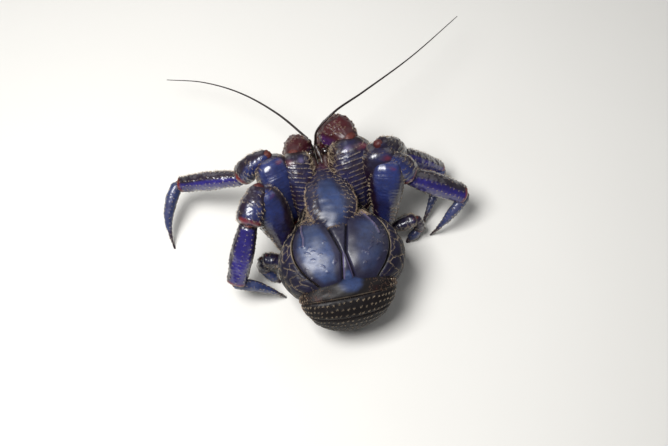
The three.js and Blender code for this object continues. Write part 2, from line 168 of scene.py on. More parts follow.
def through(*keys):
    """A smooth curve through (x, value) keys, flat beyond its ends."""
    xs, values = (np.array(column, float) for column in zip(*keys))
    low = np.maximum(np.arange(len(xs)) - 1, 0)
    high = np.minimum(np.arange(len(xs)) + 1, len(xs) - 1)
    slope = (values[high] - values[low]) / (xs[high] - xs[low])

    def curve(x):
        x = np.clip(np.asarray(x, float), xs[0], xs[-1])
        i = np.clip(np.searchsorted(xs, x), 1, len(xs) - 1)
        wide = xs[i] - xs[i - 1]
        rise = values[i] - values[i - 1]
        t = (x - xs[i - 1]) / wide
        bend = (1 - t) * (slope[i - 1] * wide - rise) - t * (slope[i] * wide - rise)
        return values[i - 1] + t * rise + t * (1 - t) * bend

    return curve


def smooth(low, high, x):
    """0 below low, 1 above high, and an even curve between."""
    t = np.clip((np.asarray(x, float) - low) / (high - low), 0, 1)
    return t * t * (3 - 2 * t)


def soften(value, power):
    """A sine or cosine squared off, as on a superellipse."""
    return np.sign(value) * np.abs(value) ** (2 / power)


def hump(x, middle, half):
    """A smooth bump of height 1 round the middle."""
    return np.exp(-(((np.asarray(x, float) - middle) / half) ** 2))


def stack(*parts):
    """Coordinates, broadcast together, as points."""
    return np.stack(np.broadcast_arrays(*parts), axis=-1).astype(float)


def unit(vectors):
    """The same directions at length 1."""
    return vectors / (np.linalg.norm(vectors, axis=-1, keepdims=True) + 1e-12)


def wobble(points, size, seed):
    """Even random unevenness, mostly within 1 either way, in lumps of about `size` millimetres."""
    rng = np.random.default_rng(seed)
    total = np.zeros(points.shape[:-1])
    waves = 12
    for _ in range(waves):
        way = unit(rng.normal(size=3))
        rate = TAU / (size * rng.uniform(0.6, 1.5))
        total += np.sin(points @ way * rate + rng.uniform(0, TAU))
    return total / math.sqrt(waves)


def distances(points, targets):
    """How far each point is from the nearest target."""
    tree = KDTree(len(targets))
    for i, target in enumerate(targets.tolist()):
        tree.insert(target, i)
    tree.balance()
    return np.array([tree.find(p)[2] for p in points.reshape(-1, 3).tolist()]).reshape(points.shape[:-1])


def object_from(name, verts, quads, tris, values):
    """A smooth mesh object from millimetre points, with named values at its points."""
    mesh = bpy.data.meshes.new(name)
    corners = np.concatenate([quads.ravel(), tris.ravel()]).astype(np.int32)
    sizes = np.concatenate([np.full(len(quads), 4), np.full(len(tris), 3)])
    starts = (np.cumsum(sizes) - sizes).astype(np.int32)
    mesh.vertices.add(len(verts))
    mesh.vertices.foreach_set("co", (verts * MM).astype(np.float32).ravel())
    mesh.loops.add(len(corners))
    mesh.loops.foreach_set("vertex_index", corners)
    mesh.polygons.add(len(sizes))
    mesh.polygons.foreach_set("loop_start", starts)
    mesh.update(calc_edges=True)
    mesh.validate()
    mesh.polygons.foreach_set("use_smooth", np.ones(len(mesh.polygons), bool))
    kinds = {1: ("FLOAT", "value"), 3: ("FLOAT_VECTOR", "vector"), 4: ("FLOAT_COLOR", "color")}
    for key, value in values.items():
        kind, field = kinds[value.shape[1]]
        mesh.attributes.new(key, kind, "POINT").data.foreach_set(field, value.astype(np.float32).ravel())
    made = bpy.data.objects.new(name, mesh)
    bpy.context.scene.collection.objects.link(made)
    return made


class Surface:
    """A grid of points over a surface, in millimetres, with heights above it and masks for its colours."""

    tiles = 0

    def __init__(self, point, s, t, inside=None, loop=False):
        self.point, self.s, self.t, self.loop = point, s, t, loop
        self.S, self.T = np.meshgrid(s, t, indexing="ij")
        self.base = point(self.S, self.T)
        small = 1e-3
        after, before = np.minimum(self.S + small, s[-1]), np.maximum(self.S - small, s[0])
        self.along = point(after, self.T) - point(before, self.T)
        after, before = self.T + small, self.T - small
        if not loop:
            after, before = np.minimum(after, t[-1]), np.maximum(before, t[0])
        self.around = point(self.S, after) - point(self.S, before)
        self.normal = unit(np.cross(self.along, self.around))
        middle = self.base.mean((0, 1)) if inside is None else np.array(inside, float)
        self.flip = np.sum(self.normal * (self.base - middle)) < 0
        if self.flip:
            self.normal = -self.normal
        self.height = np.zeros(self.S.shape)
        self.upper = np.zeros(self.S.shape)
        self.blush = np.zeros(self.S.shape)
        self.dark = np.zeros(self.S.shape)
        self.pale = np.zeros(self.S.shape)
        self.line = np.zeros(self.S.shape)
        self.tile = Surface.tiles
        Surface.tiles += 1

    def follow(self, line, step):
        """Places every `step` millimetres along a line of (s, t) corners."""
        corners = np.asarray(line, float)
        fine = np.linspace(0, len(corners) - 1, 10 * (len(corners) - 1) + 1)
        s = np.interp(fine, range(len(corners)), corners[:, 0])
        t = np.interp(fine, range(len(corners)), corners[:, 1])
        run = np.concatenate([[0], np.cumsum(np.linalg.norm(np.diff(self.point(s, t), axis=0), axis=1))])
        count = max(1, int(run[-1] / step))
        where = (np.arange(count) + 0.5) / count * run[-1]
        return np.interp(where, run, s), np.interp(where, run, t)

    def places(self, lines, step):
        """The places along several lines."""
        pairs = [self.follow(line, step) for line in lines]
        return np.concatenate([p[0] for p in pairs]), np.concatenate([p[1] for p in pairs])

    def near(self, lines, reach):
        """1 on the lines, falling to 0 at `reach` millimetres from them."""
        s, t = self.places(lines, 0.35)
        return 1 - smooth(0, reach, distances(self.base, self.point(s, t)))

    def ridge(self, lines, height, reach):
        """Raises ridges along the lines, and marks them."""
        if lines:
            shape = self.near(lines, reach)
            self.height += height * shape
            self.line = np.maximum(self.line, shape)

    def edge(self):
        """Millimetres to the nearest edge of a sheet, measured along the surface."""
        if self.loop:
            return np.full(self.S.shape, 99.0)
        down = np.linalg.norm(np.diff(self.base, axis=0), axis=2)
        over = np.linalg.norm(np.diff(self.base, axis=1), axis=2)
        first = np.vstack([np.zeros((1, down.shape[1])), np.cumsum(down, 0)])
        left = np.hstack([np.zeros((over.shape[0], 1)), np.cumsum(over, 1)])
        return np.minimum.reduce([first, first[-1:] - first, left, left[:, -1:] - left])

    def at(self, s, t):
        """The finished surface's point and normal at places on it."""
        surface = self.base + self.normal * self.height[..., None]
        i = np.clip(np.searchsorted(self.s, s) - 1, 0, len(self.s) - 2)
        f = np.clip((s - self.s[i]) / (self.s[i + 1] - self.s[i]), 0, 1)[:, None]
        if self.loop:
            place = (t - self.t[0]) / (self.t[1] - self.t[0])
            j = np.floor(place).astype(int) % len(self.t)
            k = (j + 1) % len(self.t)
            g = (place - np.floor(place))[:, None]
        else:
            j = np.clip(np.searchsorted(self.t, t) - 1, 0, len(self.t) - 2)
            k = j + 1
            g = np.clip((t - self.t[j]) / (self.t[k] - self.t[j]), 0, 1)[:, None]

        def blend(grid):
            here = grid[i, j] * (1 - g) + grid[i, k] * g
            ahead = grid[i + 1, j] * (1 - g) + grid[i + 1, k] * g
            return here * (1 - f) + ahead * f

        return blend(surface), unit(blend(self.normal)), unit(blend(self.along)), unit(blend(self.around))

    def faces(self, start, flip):
        """The quads of the grid, numbered from `start`."""
        m, n = self.S.shape
        number = np.arange(m * n).reshape(m, n) + start
        if self.loop:
            number = np.hstack([number, number[:, :1]])
        a, b, c, d = number[:-1, :-1], number[1:, :-1], number[1:, 1:], number[:-1, 1:]
        ring = (a, d, c, b) if flip else (a, b, c, d)
        return np.stack([x.ravel() for x in ring], axis=1)

    def mesh(self, thickness):
        """Points, quads, triangles and masks of a closed body: a tube with its ends shut, or a plate."""
        m, n = self.S.shape
        outer = (self.base + self.normal * self.height[..., None]).reshape(-1, 3)
        zone = np.stack([self.upper, self.blush, self.dark, self.pale], axis=-1).reshape(-1, 4)
        length = np.linalg.norm(np.diff(self.base, axis=0), axis=2).mean(1).sum()
        girth = np.linalg.norm(np.diff(self.base, axis=1), axis=2).sum(1).max()
        apart = np.full(self.S.shape, FLOW_APART * self.tile)
        flow = stack(self.S * length, self.T * girth, apart).reshape(-1, 3) * MM
        line = self.line.reshape(-1, 1)
        quads = self.faces(0, self.flip)
        if self.loop:
            ends = np.array([outer[:n].mean(0), outer[-n:].mean(0)])
            here = np.arange(n)
            after = (here + 1) % n
            last = (m - 1) * n
            first_cap = np.stack([np.full(n, m * n), after, here], axis=1)
            last_cap = np.stack([np.full(n, m * n + 1), here + last, after + last], axis=1)
            tris = np.concatenate([first_cap, last_cap])
            if not self.flip:
                tris = tris[:, ::-1]
            pick = [0, m * n - 1]
            masks = (np.concatenate([mask, mask[pick]]) for mask in (zone, flow, line))
            return (np.concatenate([outer, ends]), quads, tris, *masks)
        inner = (self.base + self.normal * (np.minimum(self.height, 0) - thickness)[..., None]).reshape(-1, 3)
        under = self.faces(m * n, not self.flip)
        number = np.arange(m * n).reshape(m, n)
        rim = np.concatenate([number[0, :-1], number[:-1, -1], number[-1, :0:-1], number[:0:-1, 0]])
        after = np.roll(rim, -1)
        wall = np.stack([rim, after, after + m * n, rim + m * n], axis=1)
        if self.flip:
            wall = wall[:, ::-1]
        masks = (np.tile(mask, (2, 1)) for mask in (zone, flow, line))
        quads = np.concatenate([quads, under, wall])
        return (np.concatenate([outer, inner]), quads, np.zeros((0, 3), int), *masks)


def join(meshes):
    """One mesh from several, held above the floor: points, faces of four, faces of three and masks."""
    verts, quads, tris, *masks = zip(*meshes)
    starts = np.cumsum([0] + [len(points) for points in verts[:-1]])
    points = np.concatenate(verts)
    points[:, 2] = np.maximum(points[:, 2], 0)
    quads = np.concatenate([faces + start for faces, start in zip(quads, starts)])
    tris = np.concatenate([faces + start for faces, start in zip(tris, starts)])
    return (points, quads, tris, *(np.concatenate(mask) for mask in masks))


def body(name, surfaces, material, slot, *nodes):
    """One object from several surfaces; it rides the body and stands for the nodes."""
    points, quads, tris, zone, flow, line = join([surface.mesh(PLATE_THICKNESS) for surface in surfaces])
    values = {"zone": np.clip(zone, 0, 1), "flow": flow, "line": line}
    made = object_from(name, points, quads, tris, values)
    return settle(made, material, slot, *nodes)


def settle(made, material, slot, *nodes):
    """Gives a finished piece its material, its body and the nodes it stands for; the slot is not used."""
    made.data.materials.clear()
    made.data.materials.append(material)
    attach(made, BODY)
    if nodes:
        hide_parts(*nodes)
    return made


class Coat:
    """Roots of bristles on several surfaces, grown together as one piece."""

    def __init__(self, seed):
        self.rng = np.random.default_rng(seed)
        self.roots = []

    def add(self, surface, s, t, way, lift=0.35, size=1.0, tint=0.0, spread=0.3, jitter=0.12, slim=1.0):
        """Bristles at places on a surface. `way` is their lie, as shares along s and along t.

        `lift` and `jitter` are how far they stand up, in radians, and how unevenly. `slim` narrows them.
        """
        if not len(s):
            return
        at, normal, along, around = surface.at(s, t)
        way = np.broadcast_to(np.asarray(way, float), (len(s), 2))
        lie = along * way[:, :1] + around * way[:, 1:]
        lie = unit(lie + self.rng.normal(size=lie.shape) * spread)
        lie = unit(lie - normal * np.sum(lie * normal, axis=1, keepdims=True))
        lift = np.clip(lift + self.rng.normal(size=len(s)) * jitter, 0.05, 1.4)[:, None]
        lie = lie * np.cos(lift) + normal * np.sin(lift)
        sizes = np.outer(self.rng.uniform(0.75, 1.2, len(s)) * size, (slim, slim, 1.0))
        tints = np.clip(tint + self.rng.normal(size=len(s)) * 0.12, 0, 1)[:, None]
        share_s = (s - surface.s[0]) / (surface.s[-1] - surface.s[0])
        share_t = (t - surface.t[0]) / (surface.t[-1] - surface.t[0])
        tile = np.array([surface.tile % TILES, surface.tile // TILES % TILES])
        share = np.clip(np.stack([share_s, share_t], axis=1), 0, 1)
        place = np.hstack([(tile + 0.05 + 0.9 * share) / TILES, np.zeros((len(s), 1))])
        self.roots.append((at - normal * ROOT_DEPTH, lie, normal, sizes, tints, place))

    def grow(self, name, slot):
        """Turns the roots into one mesh of bristles."""
        points, *columns = (np.concatenate(column) for column in zip(*self.roots))
        values = dict(zip(("lie", "up", "size", "tint", "place"), columns))
        above = points[:, 2] > ROOT_FLOOR
        points, values = points[above], {key: value[above] for key, value in values.items()}
        roots = object_from(name + "_roots", points, np.zeros((0, 4), int), np.zeros((0, 3), int), values)
        sizes = bpy.context.scene.crab_bristles
        material = bristle_material()
        tree = bristle_tree(material)
        modifier = roots.modifiers.new("Bristles", "NODES")
        modifier.node_group = tree
        wanted = {"Length": sizes.span, "Width": sizes.width, "Curl": sizes.curl, "Seed": sizes.seed}
        for item in tree.interface.items_tree:
            if item.name in wanted:
                modifier[item.identifier] = wanted[item.name]
        mesh = plain_mesh(roots)
        bpy.data.objects.remove(roots)
        for key in ("lie", "up", "size", "place", "tuft"):
            if key in mesh.attributes:
                mesh.attributes.remove(mesh.attributes[key])
        mesh.name = name
        made = bpy.data.objects.new(name, mesh)
        bpy.context.scene.collection.objects.link(made)
        if not mesh.polygons:
            raise RuntimeError(name + " has no bristles")
        return settle(made, material, slot)


def plain_mesh(source):
    """A plain mesh of what the object's modifiers make, after which they are removed."""
    bpy.context.view_layer.update()
    graph = bpy.context.evaluated_depsgraph_get()
    mesh = bpy.data.meshes.new_from_object(
        source.evaluated_get(graph), preserve_all_data_layers=True, depsgraph=graph
    )
    source.modifiers.clear()
    return mesh


def add_node(tree, kind, inputs, settings):
    """A node in a tree. Each of its inputs is a value or the output of another node."""
    made = tree.nodes.new(kind)
    for key, value in settings.items():
        setattr(made, key, value)
    for key, value in (inputs or {}).items():
        if isinstance(value, bpy.types.NodeSocket):
            tree.links.new(value, made.inputs[key])
        else:
            made.inputs[key].default_value = value
    return made


def bristle_tree(material):
    """Geometry Nodes: one thin bent tuft on every root, laid the way its root says."""
    name = "Bristles"
    if name in bpy.data.node_groups:
        return bpy.data.node_groups[name]
    tree = bpy.data.node_groups.new(name, "GeometryNodeTree")
    face = tree.interface
    face.new_socket("Geometry", in_out="INPUT", socket_type="NodeSocketGeometry")
    for key, kind in (("Length", "Float"), ("Width", "Float"), ("Curl", "Float"), ("Seed", "Int")):
        face.new_socket(key, in_out="INPUT", socket_type="NodeSocket" + kind)
    face.new_socket("Geometry", in_out="OUTPUT", socket_type="NodeSocketGeometry")

    def node(kind, inputs=None, **settings):
        return add_node(tree, kind, inputs, settings)

    def maths(operation, a, b):
        return node("ShaderNodeMath", {0: a, 1: b}, operation=operation).outputs[0]

    def named(key, kind):
        return node("GeometryNodeInputNamedAttribute", {"Name": key}, data_type=kind).outputs[0]

    def store(geometry, key, kind, domain, value):
        inputs = {"Geometry": geometry, "Name": key, "Value": value}
        return node("GeometryNodeStoreNamedAttribute", inputs, data_type=kind, domain=domain).outputs[0]

    def vector(operation, inputs):
        return node("ShaderNodeVectorMath", inputs, operation=operation).outputs[0]

    given = node("NodeGroupInput").outputs
    cone = node(
        "GeometryNodeMeshCone",
        {
            "Vertices": 3,
            "Side Segments": 2,
            "Radius Top": 0.0,
            "Radius Bottom": maths("MULTIPLY", given["Width"], 0.5),
            "Depth": given["Length"],
        },
        fill_type="NGON",
    )
    height = node("ShaderNodeSeparateXYZ", {0: node("GeometryNodeInputPosition").outputs[0]}).outputs["Z"]
    share = maths("DIVIDE", height, given["Length"])
    tuft = store(cone.outputs["Mesh"], "tip", "FLOAT", "POINT", share)
    tuft = store(tuft, "tuft", "FLOAT2", "CORNER", cone.outputs["UV Map"])
    curl = maths("MULTIPLY", given["Length"], given["Curl"])
    drop = maths("MULTIPLY", maths("MULTIPLY", share, share), curl)
    bend = node("ShaderNodeCombineXYZ", {"X": maths("MULTIPLY", drop, -1.0)}).outputs[0]
    bent = node("GeometryNodeSetPosition", {"Geometry": tuft, "Offset": bend}).outputs[0]
    roots = node("GeometryNodeMeshToPoints", {"Mesh": given["Geometry"]}).outputs[0]
    way = named("lie", "FLOAT_VECTOR")
    lie = node("FunctionNodeAlignRotationToVector", {"Vector": way}, axis="Z").outputs[0]
    turn = node(
        "FunctionNodeAlignRotationToVector",
        {"Rotation": lie, "Vector": named("up", "FLOAT_VECTOR")},
        axis="X",
        pivot_axis="Z",
    ).outputs[0]
    least, most = 2, 3  # the random node's sockets for a plain number
    inputs = {least: 0.85, most: 1.15, "Seed": given["Seed"]}
    vary = node("FunctionNodeRandomValue", inputs, data_type="FLOAT")
    scale = vector("SCALE", {0: named("size", "FLOAT_VECTOR"), "Scale": vary.outputs[1]})
    placed = node(
        "GeometryNodeInstanceOnPoints", {"Points": roots, "Instance": bent, "Rotation": turn, "Scale": scale}
    ).outputs[0]
    real = node("GeometryNodeRealizeInstances", {"Geometry": placed}).outputs[0]
    patch = vector("SUBTRACT", {0: named("tuft", "FLOAT_VECTOR"), 1: (0.5, 0.5, 0.0)})
    small = vector("SCALE", {0: patch, "Scale": PATCH})
    here = vector("ADD", {0: named("place", "FLOAT_VECTOR"), 1: small})
    mapped = store(real, "OFBake", "FLOAT2", "CORNER", here)
    painted = node("GeometryNodeSetMaterial", {"Geometry": mapped, "Material": material}).outputs[0]
    node("NodeGroupOutput", {"Geometry": painted})
    return tree


class Shader:
    """A material's node tree, built one node at a time."""

    def __init__(self, name):
        self.material = bpy.data.materials.new(name)
        self.material.use_nodes = True
        self.tree = self.material.node_tree
        self.tree.nodes.clear()
        self.place = self.node("ShaderNodeTexCoord").outputs["Object"]

    def node(self, kind, inputs=None, **settings):
        """A node with its settings and its inputs, each a value or the output of another node."""
        return add_node(self.tree, kind, inputs, settings)

    def maths(self, operation, a, b=0.0, clamp=False):
        """A sum, product or other operation on two values."""
        return self.node("ShaderNodeMath", {0: a, 1: b}, operation=operation, use_clamp=clamp).outputs[0]

    def spread(self, value, low, high, to_low=0.0, to_high=1.0):
        """A value carried from one range to another by a smooth step."""
        inputs = {"Value": value, "From Min": low, "From Max": high, "To Min": to_low, "To Max": to_high}
        return self.node("ShaderNodeMapRange", inputs, interpolation_type="SMOOTHSTEP").outputs["Result"]

    def noise(self, per_metre, detail=3.0, vector=None, scale=(1, 1, 1), rough=0.55):
        """Noise whose lumps are about 1 / per_metre across."""
        where = self.node("ShaderNodeMapping", {"Vector": vector or self.place, "Scale": scale}).outputs[0]
        inputs = {"Vector": where, "Scale": per_metre, "Detail": detail, "Roughness": rough}
        return self.node("ShaderNodeTexNoise", inputs).outputs[0]

    def mix(self, share, a, b, kind="MIX"):
        """Two colours mixed."""
        made = self.node("ShaderNodeMix", data_type="RGBA", blend_type=kind)
        for number, value in ((0, share), (6, a), (7, b)):
            if isinstance(value, bpy.types.NodeSocket):
                self.tree.links.new(value, made.inputs[number])
            elif number:
                made.inputs[number].default_value = (*value, 1)
            else:
                made.inputs[number].default_value = value
        return made.outputs[2]

    def attribute(self, name, output="Fac"):
        """A value stored at the mesh's points."""
        return self.node("ShaderNodeAttribute", attribute_name=name).outputs[output]

    def bump(self, height, strength, distance, normal=None):
        """Fine relief."""
        inputs = {"Height": height, "Strength": strength, "Distance": distance}
        if normal:
            inputs["Normal"] = normal
        return self.node("ShaderNodeBump", inputs).outputs[0]

    def finish(self, inputs):
        """The surface shader, from its inputs."""
        shader = self.node("ShaderNodeBsdfPrincipled", inputs)
        self.node("ShaderNodeOutputMaterial", {"Surface": shader.outputs[0]})
        return self.material


def shell_material(name, shades, gloss, coat, haze=0.22, shine=0.4, striae=0.0):
    """Glossy, mottled shell. Its masks blend five colours, and fine relief follows the surface.

    `gloss` is its lowest roughness, `coat` and `haze` its clear coat and that coat's roughness,
    `shine` its reflection and `striae` the depth of its fine lines.
    """
    if name in bpy.data.materials:
        return bpy.data.materials[name]
    base, upper, blush, dark, pale = (tuple(shade) for shade in shades)
    sh = Shader(name)
    zone = sh.node("ShaderNodeAttribute", attribute_name="zone")
    masks = sh.node("ShaderNodeSeparateColor", {0: zone.outputs["Color"]})
    flow = sh.attribute("flow", "Vector")
    blotch = sh.noise(110, 4)
    freckle = sh.noise(520, 4, rough=0.65)
    tint = base
    for value, shade, reach in (
        (masks.outputs[0], upper, 0.8),
        (masks.outputs[1], blush, 0.8),
        (masks.outputs[2], dark, 0.5),
        (zone.outputs["Alpha"], pale, 0.35),
    ):
        ragged = sh.maths("ADD", value, sh.maths("MULTIPLY", sh.maths("SUBTRACT", blotch, 0.5), reach))
        ragged = sh.maths("ADD", ragged, sh.maths("MULTIPLY", sh.maths("SUBTRACT", freckle, 0.5), 0.25))
        share = sh.maths("MULTIPLY", sh.spread(ragged, 0.15, 0.9), sh.spread(value, 0.0, 0.12))
        tint = sh.mix(share, tint, shade)
    tint = sh.mix(sh.spread(freckle, 0.35, 0.75, 0.0, 0.4), tint, dark)
    cloud = sh.spread(sh.noise(48, 3), 0.3, 0.75, 0.72, 1.25)
    grey = sh.node("ShaderNodeCombineColor", {0: cloud, 1: cloud, 2: cloud}).outputs[0]
    tint = sh.mix(1.0, tint, grey, "MULTIPLY")
    line = sh.attribute("line")
    tint = sh.mix(sh.maths("MULTIPLY", line, 0.45), tint, dark)
    grain = sh.noise(900, 4, flow, (1, 0.35, 1))
    stripes = sh.noise(700, 2, flow, (1, 0.06, 1))
    cells = sh.node("ShaderNodeTexVoronoi", {"Vector": sh.place, "Scale": 900.0}).outputs["Distance"]
    relief = sh.bump(sh.spread(cells, 0.1, 0.6), 0.35, 0.0001)
    relief = sh.bump(grain, 0.4, 0.00018, relief)
    relief = sh.bump(sh.noise(190, 3), 0.45, 0.0006, relief)
    if striae:
        relief = sh.bump(stripes, striae, 0.0006, relief)
    worn = sh.maths("ADD", grain, sh.maths("MULTIPLY", line, 0.5))
    rough = sh.spread(worn, 0.3, 1.0, gloss + 0.1, gloss + 0.35)
    return sh.finish(
        {
            "Base Color": tint,
            "Roughness": rough,
            "Normal": relief,
            "Coat Weight": coat,
            "Coat Roughness": haze,
            "Specular IOR Level": shine,
            "IOR": 1.5,
        }
    )


def bristle_material():
    """Pale dry bristles, darker at the root, some of them rust."""
    name = "Bristle"
    if name in bpy.data.materials:
        return bpy.data.materials[name]
    shades = bpy.context.scene.crab_colours
    sh = Shader(name)
    noise = sh.noise(300, 3)
    tint = sh.mix(sh.attribute("tint"), shades.bristle, shades.rust)
    tint = sh.mix(sh.spread(noise, 0.35, 0.7, 0.0, 0.4), tint, shades.edge_brown)
    tint = sh.mix(sh.spread(sh.attribute("tip"), 0.0, 0.45, 0.55, 0.0), tint, shades.edge_brown)
    relief = sh.bump(sh.noise(2500, 2), 0.4, 0.0001)
    rough = sh.spread(noise, 0.3, 0.7, 0.42, 0.6)
    return sh.finish({"Base Color": tint, "Roughness": rough, "Normal": relief, "Specular IOR Level": 0.4})


# Thorax and its plates
REAR_Y = -2.0
ROSTRUM_Y = 112.0
FRONT_Y = 80.0
THORAX_POWER = 2.5
UNDERSIDE_Z = 27.0
thorax_width = through((REAR_Y, 33), (4, 43), (14, 49.5), (28, 52), (46, 46), (62, 33), (80, 22))
thorax_top = through((REAR_Y, 61), (4, 66), (12, 70), (28, 73), (46, 73), (62, 67), (80, 60))
thorax_bottom = through((REAR_Y, 34), (4, 29), (14, 24), (34, 17), (60, 17), (80, 24))
side_line = through((-12, 15), (REAR_Y, 22), (10, 33), (24, 39), (38, 39), (50, 34), (64, 24), (84, 15))

# Front shield
SHIELD_HALF = 20.5
SHIELD_DEPTH = 16.0
SHIELD_POWER = 2.2
SHIELD_REAR_Y = 42.3
shield_width = through(
    (SHIELD_REAR_Y, 1), (44, 7), (48, 13), (56, 18.5), (66, SHIELD_HALF), (82, 18.5), (96, 13), (106, 6),
    (ROSTRUM_Y, 1.2),
)
shield_top = through((43, 72), (54, 77), (72, 78), (90, 74), (ROSTRUM_Y, 64))

# Abdomen: it fans round a pivot, by degrees from straight up, backwards and under
PIVOT_Y = 8.0
PIVOT_Z = 29.0
TAIL_INNER = 4.0
TAIL_POWER = 2.15
TAIL_SWING = -2.0  # how far it leans to the crab's right at its rear: less than 0, so it leans left
TERGITE_EDGES = (3, 34, 59, 83, 106, 129)
tail_outer = through((0, 33), (25, 37), (50, 39), (75, 37), (95, 34), (120, 31.5), (150, 32.5), (178, 30.8))
tail_width = through((0, 34), (25, 39), (50, 37), (75, 31.5), (100, 26.5), (140, 23), (178, 21))
tail_split = through((0, 14), (60, 19), (110, 15), (178, 10))

# Face under the shield
face_width = through((66, 20), (84, 17), (98, 12), (106, 8))
face_top = through((66, 62), (84, 63), (98, 60), (106, 58))
face_bottom = through((66, 26), (84, 30), (98, 38), (106, 45))

# How limb segments swell: sizes of the neck and the tip as shares of the full size at the belly
FORMS = {
    "merus": dict(neck=0.56, tip=0.86, belly=0.7, power=2.4, dome=0.3),
    "carpus": dict(neck=0.6, tip=0.92, belly=0.65, power=2.3, dome=0.25),
    "propodus": dict(neck=0.78, tip=0.86, belly=0.45, power=2.5, dome=0.2),
    "dactyl": dict(neck=0.95, tip=0.14, belly=0.2, power=2.1, dome=0.3),
    "palm": dict(neck=0.5, tip=0.86, belly=0.55, power=2.5, dome=0.2),
    "finger": dict(neck=1.0, tip=0.16, belly=0.1, power=2.2, dome=0.3),
    "pincer": dict(neck=0.75, tip=0.35, belly=0.5, power=2.2, dome=0.3),
}
SINK = 0.8  # how far a foot would reach below the floor, whose level makes its small flat
JOINT_TUCK = 0.3  # how far a segment reaches back into the last one, as a share of its neck
# Painted shade: limb shell turned away from this way is painted darker.
OVERHEAD = np.array((-0.1, -0.12, 0.99))  # shell that faces this way is the brightest
# Long, wide, high and arch of each segment
LEG_SIZES = {
    "leg_2": dict(
        merus=(60, 31, 27, 1.5), carpus=(34, 19, 19, 2), propodus=(59, 14, 16, 1), dactyl=(57, 10.5, 11, 8)
    ),
    "leg_3": dict(
        merus=(60, 30, 26, 1.5), carpus=(32, 22, 20, 2), propodus=(54, 19, 17, 1), dactyl=(50, 9.5, 10.5, 6)
    ),
    "leg_4": dict(merus=(27, 12, 12, 0), carpus=(16, 10, 10, 0), pincer=(18, 8, 10, 0)),
}
# Hip, roll of the last segment, and each segment's heading and slope; the last one reaches the floor
LEGS = {
    ("leg_2", "left"): ((-31, 78, 36), 50, ((-17, 45), (-97, -42), (-71, -21), (-161,))),
    ("leg_2", "right"): ((46, 80, 34), -20, ((5, 68), (80, -54), (87, -46), (-147,))),
    ("leg_3", "left"): ((-39, 54, 36), 0, ((-29, 54), (-152, -22), (-146, -54), (102,))),
    ("leg_3", "right"): ((45, 60, 34), -35, ((13, 54), (120, -44), (106, -28), (-114,))),
    ("leg_4", "left"): ((-38, 46, 19), 0, ((-78, 16), (166, -75), (125,))),
    ("leg_4", "right"): ((48, 59, 20), 0, ((86, 14), (124, -75), (-112,))),
}
CLAW_ROLL = -90  # the hand turns on its edge
CLAWS = {
    "right": dict(
        hip=(24, 73, 34), merus=(68, 38, 33, 2), merus_turn=(3, 45),
        carpus=(33, 30, 27, 2), carpus_turn=(-24, -34),
        palm=(38, 34, 27, 0), fingers=27, chela_turn=(-155, -84),
    ),
    "left": dict(
        hip=(-18, 72, 32), merus=(65, 28, 30, 2), merus_turn=(-3, 42),
        carpus=(26, 24, 27, 2), carpus_turn=(24, -52),
        palm=(40, 42, 24, 0), fingers=28, chela_turn=(180, -44),
    ),
}
FEELERS = {
    "left": dict(
        base=((-5, 100, 54), (-5, 116, 58), (-5, 138, 62)),
        whip=((-5, 138.5, 62), (-25, 172, 58), (-53, 207, 50), (-84, 232, 42), (-116, 248, 34)),
    ),
    "right": dict(
        base=((5, 100, 54), (3, 114, 60), (0, 128, 66)),
        whip=((0, 128.5, 66.5), (2, 132, 80), (18, 140, 91), (48, 160, 84), (104, 203, 64), (162, 250, 50)),
    ),
}


def thorax_ring(y, angle, inset=0.0):
    """A point round the thorax, at an angle from the crab's right."""
    top, bottom = thorax_top(y) - inset, thorax_bottom(y)
    across = (thorax_width(y) - inset) * soften(np.cos(angle), THORAX_POWER)
    return stack(across, y, (top + bottom) / 2 + (top - bottom) / 2 * soften(np.sin(angle), THORAX_POWER))


def thorax_roof(x, y):
    """A point on top of the thorax, over a place in plan."""
    top, bottom = thorax_top(y), thorax_bottom(y)
    share = np.clip(np.abs(x) / thorax_width(y), 0, 1)
    rise = (1 - share**THORAX_POWER) ** (1 / THORAX_POWER)
    return stack(x, y, (top + bottom) / 2 + (top - bottom) / 2 * rise)


def heart_line(y):
    """Half width of the heart plate."""
    return np.interp(y, (-12, 21, 47, 84), (7, 1.6, 8, 8))


def fan(degrees, radius):
    """The y and z of a place on the abdomen."""
    turn = np.radians(degrees)
    return PIVOT_Y - radius * np.sin(turn), PIVOT_Z + radius * np.cos(turn)


def tail_ring(degrees, angle, inset=0.0):
    """A point round the abdomen's section at these degrees."""
    outer = tail_outer(degrees) - inset
    radius = (TAIL_INNER + outer) / 2 + (outer - TAIL_INNER) / 2 * soften(np.sin(angle), TAIL_POWER)
    y, z = fan(degrees, radius)
    swing = TAIL_SWING * np.sin(np.radians(degrees))
    x = (tail_width(degrees) - inset) * soften(np.cos(angle), TAIL_POWER) + swing
    return stack(x, y, z)


def direction(heading, slope):
    """The way a segment points, from its heading and slope in degrees."""
    h, e = math.radians(heading), math.radians(slope)
    return np.array([math.sin(h) * math.cos(e), math.cos(h) * math.cos(e), math.sin(e)])


def turned(heading, slope, roll=0.0):
    """The turn of a segment that points along its own +Y, as rows of a matrix."""
    turn = Matrix.Rotation(-math.radians(heading), 3, "Z") @ Matrix.Rotation(math.radians(slope), 3, "X")
    return np.array(turn @ Matrix.Rotation(math.radians(roll), 3, "Y"))


def cells(size, least=6):
    """How many grid points a length of shell takes."""
    cell = bpy.context.scene.crab_shell.cell / MM
    return max(least, int(size / cell))


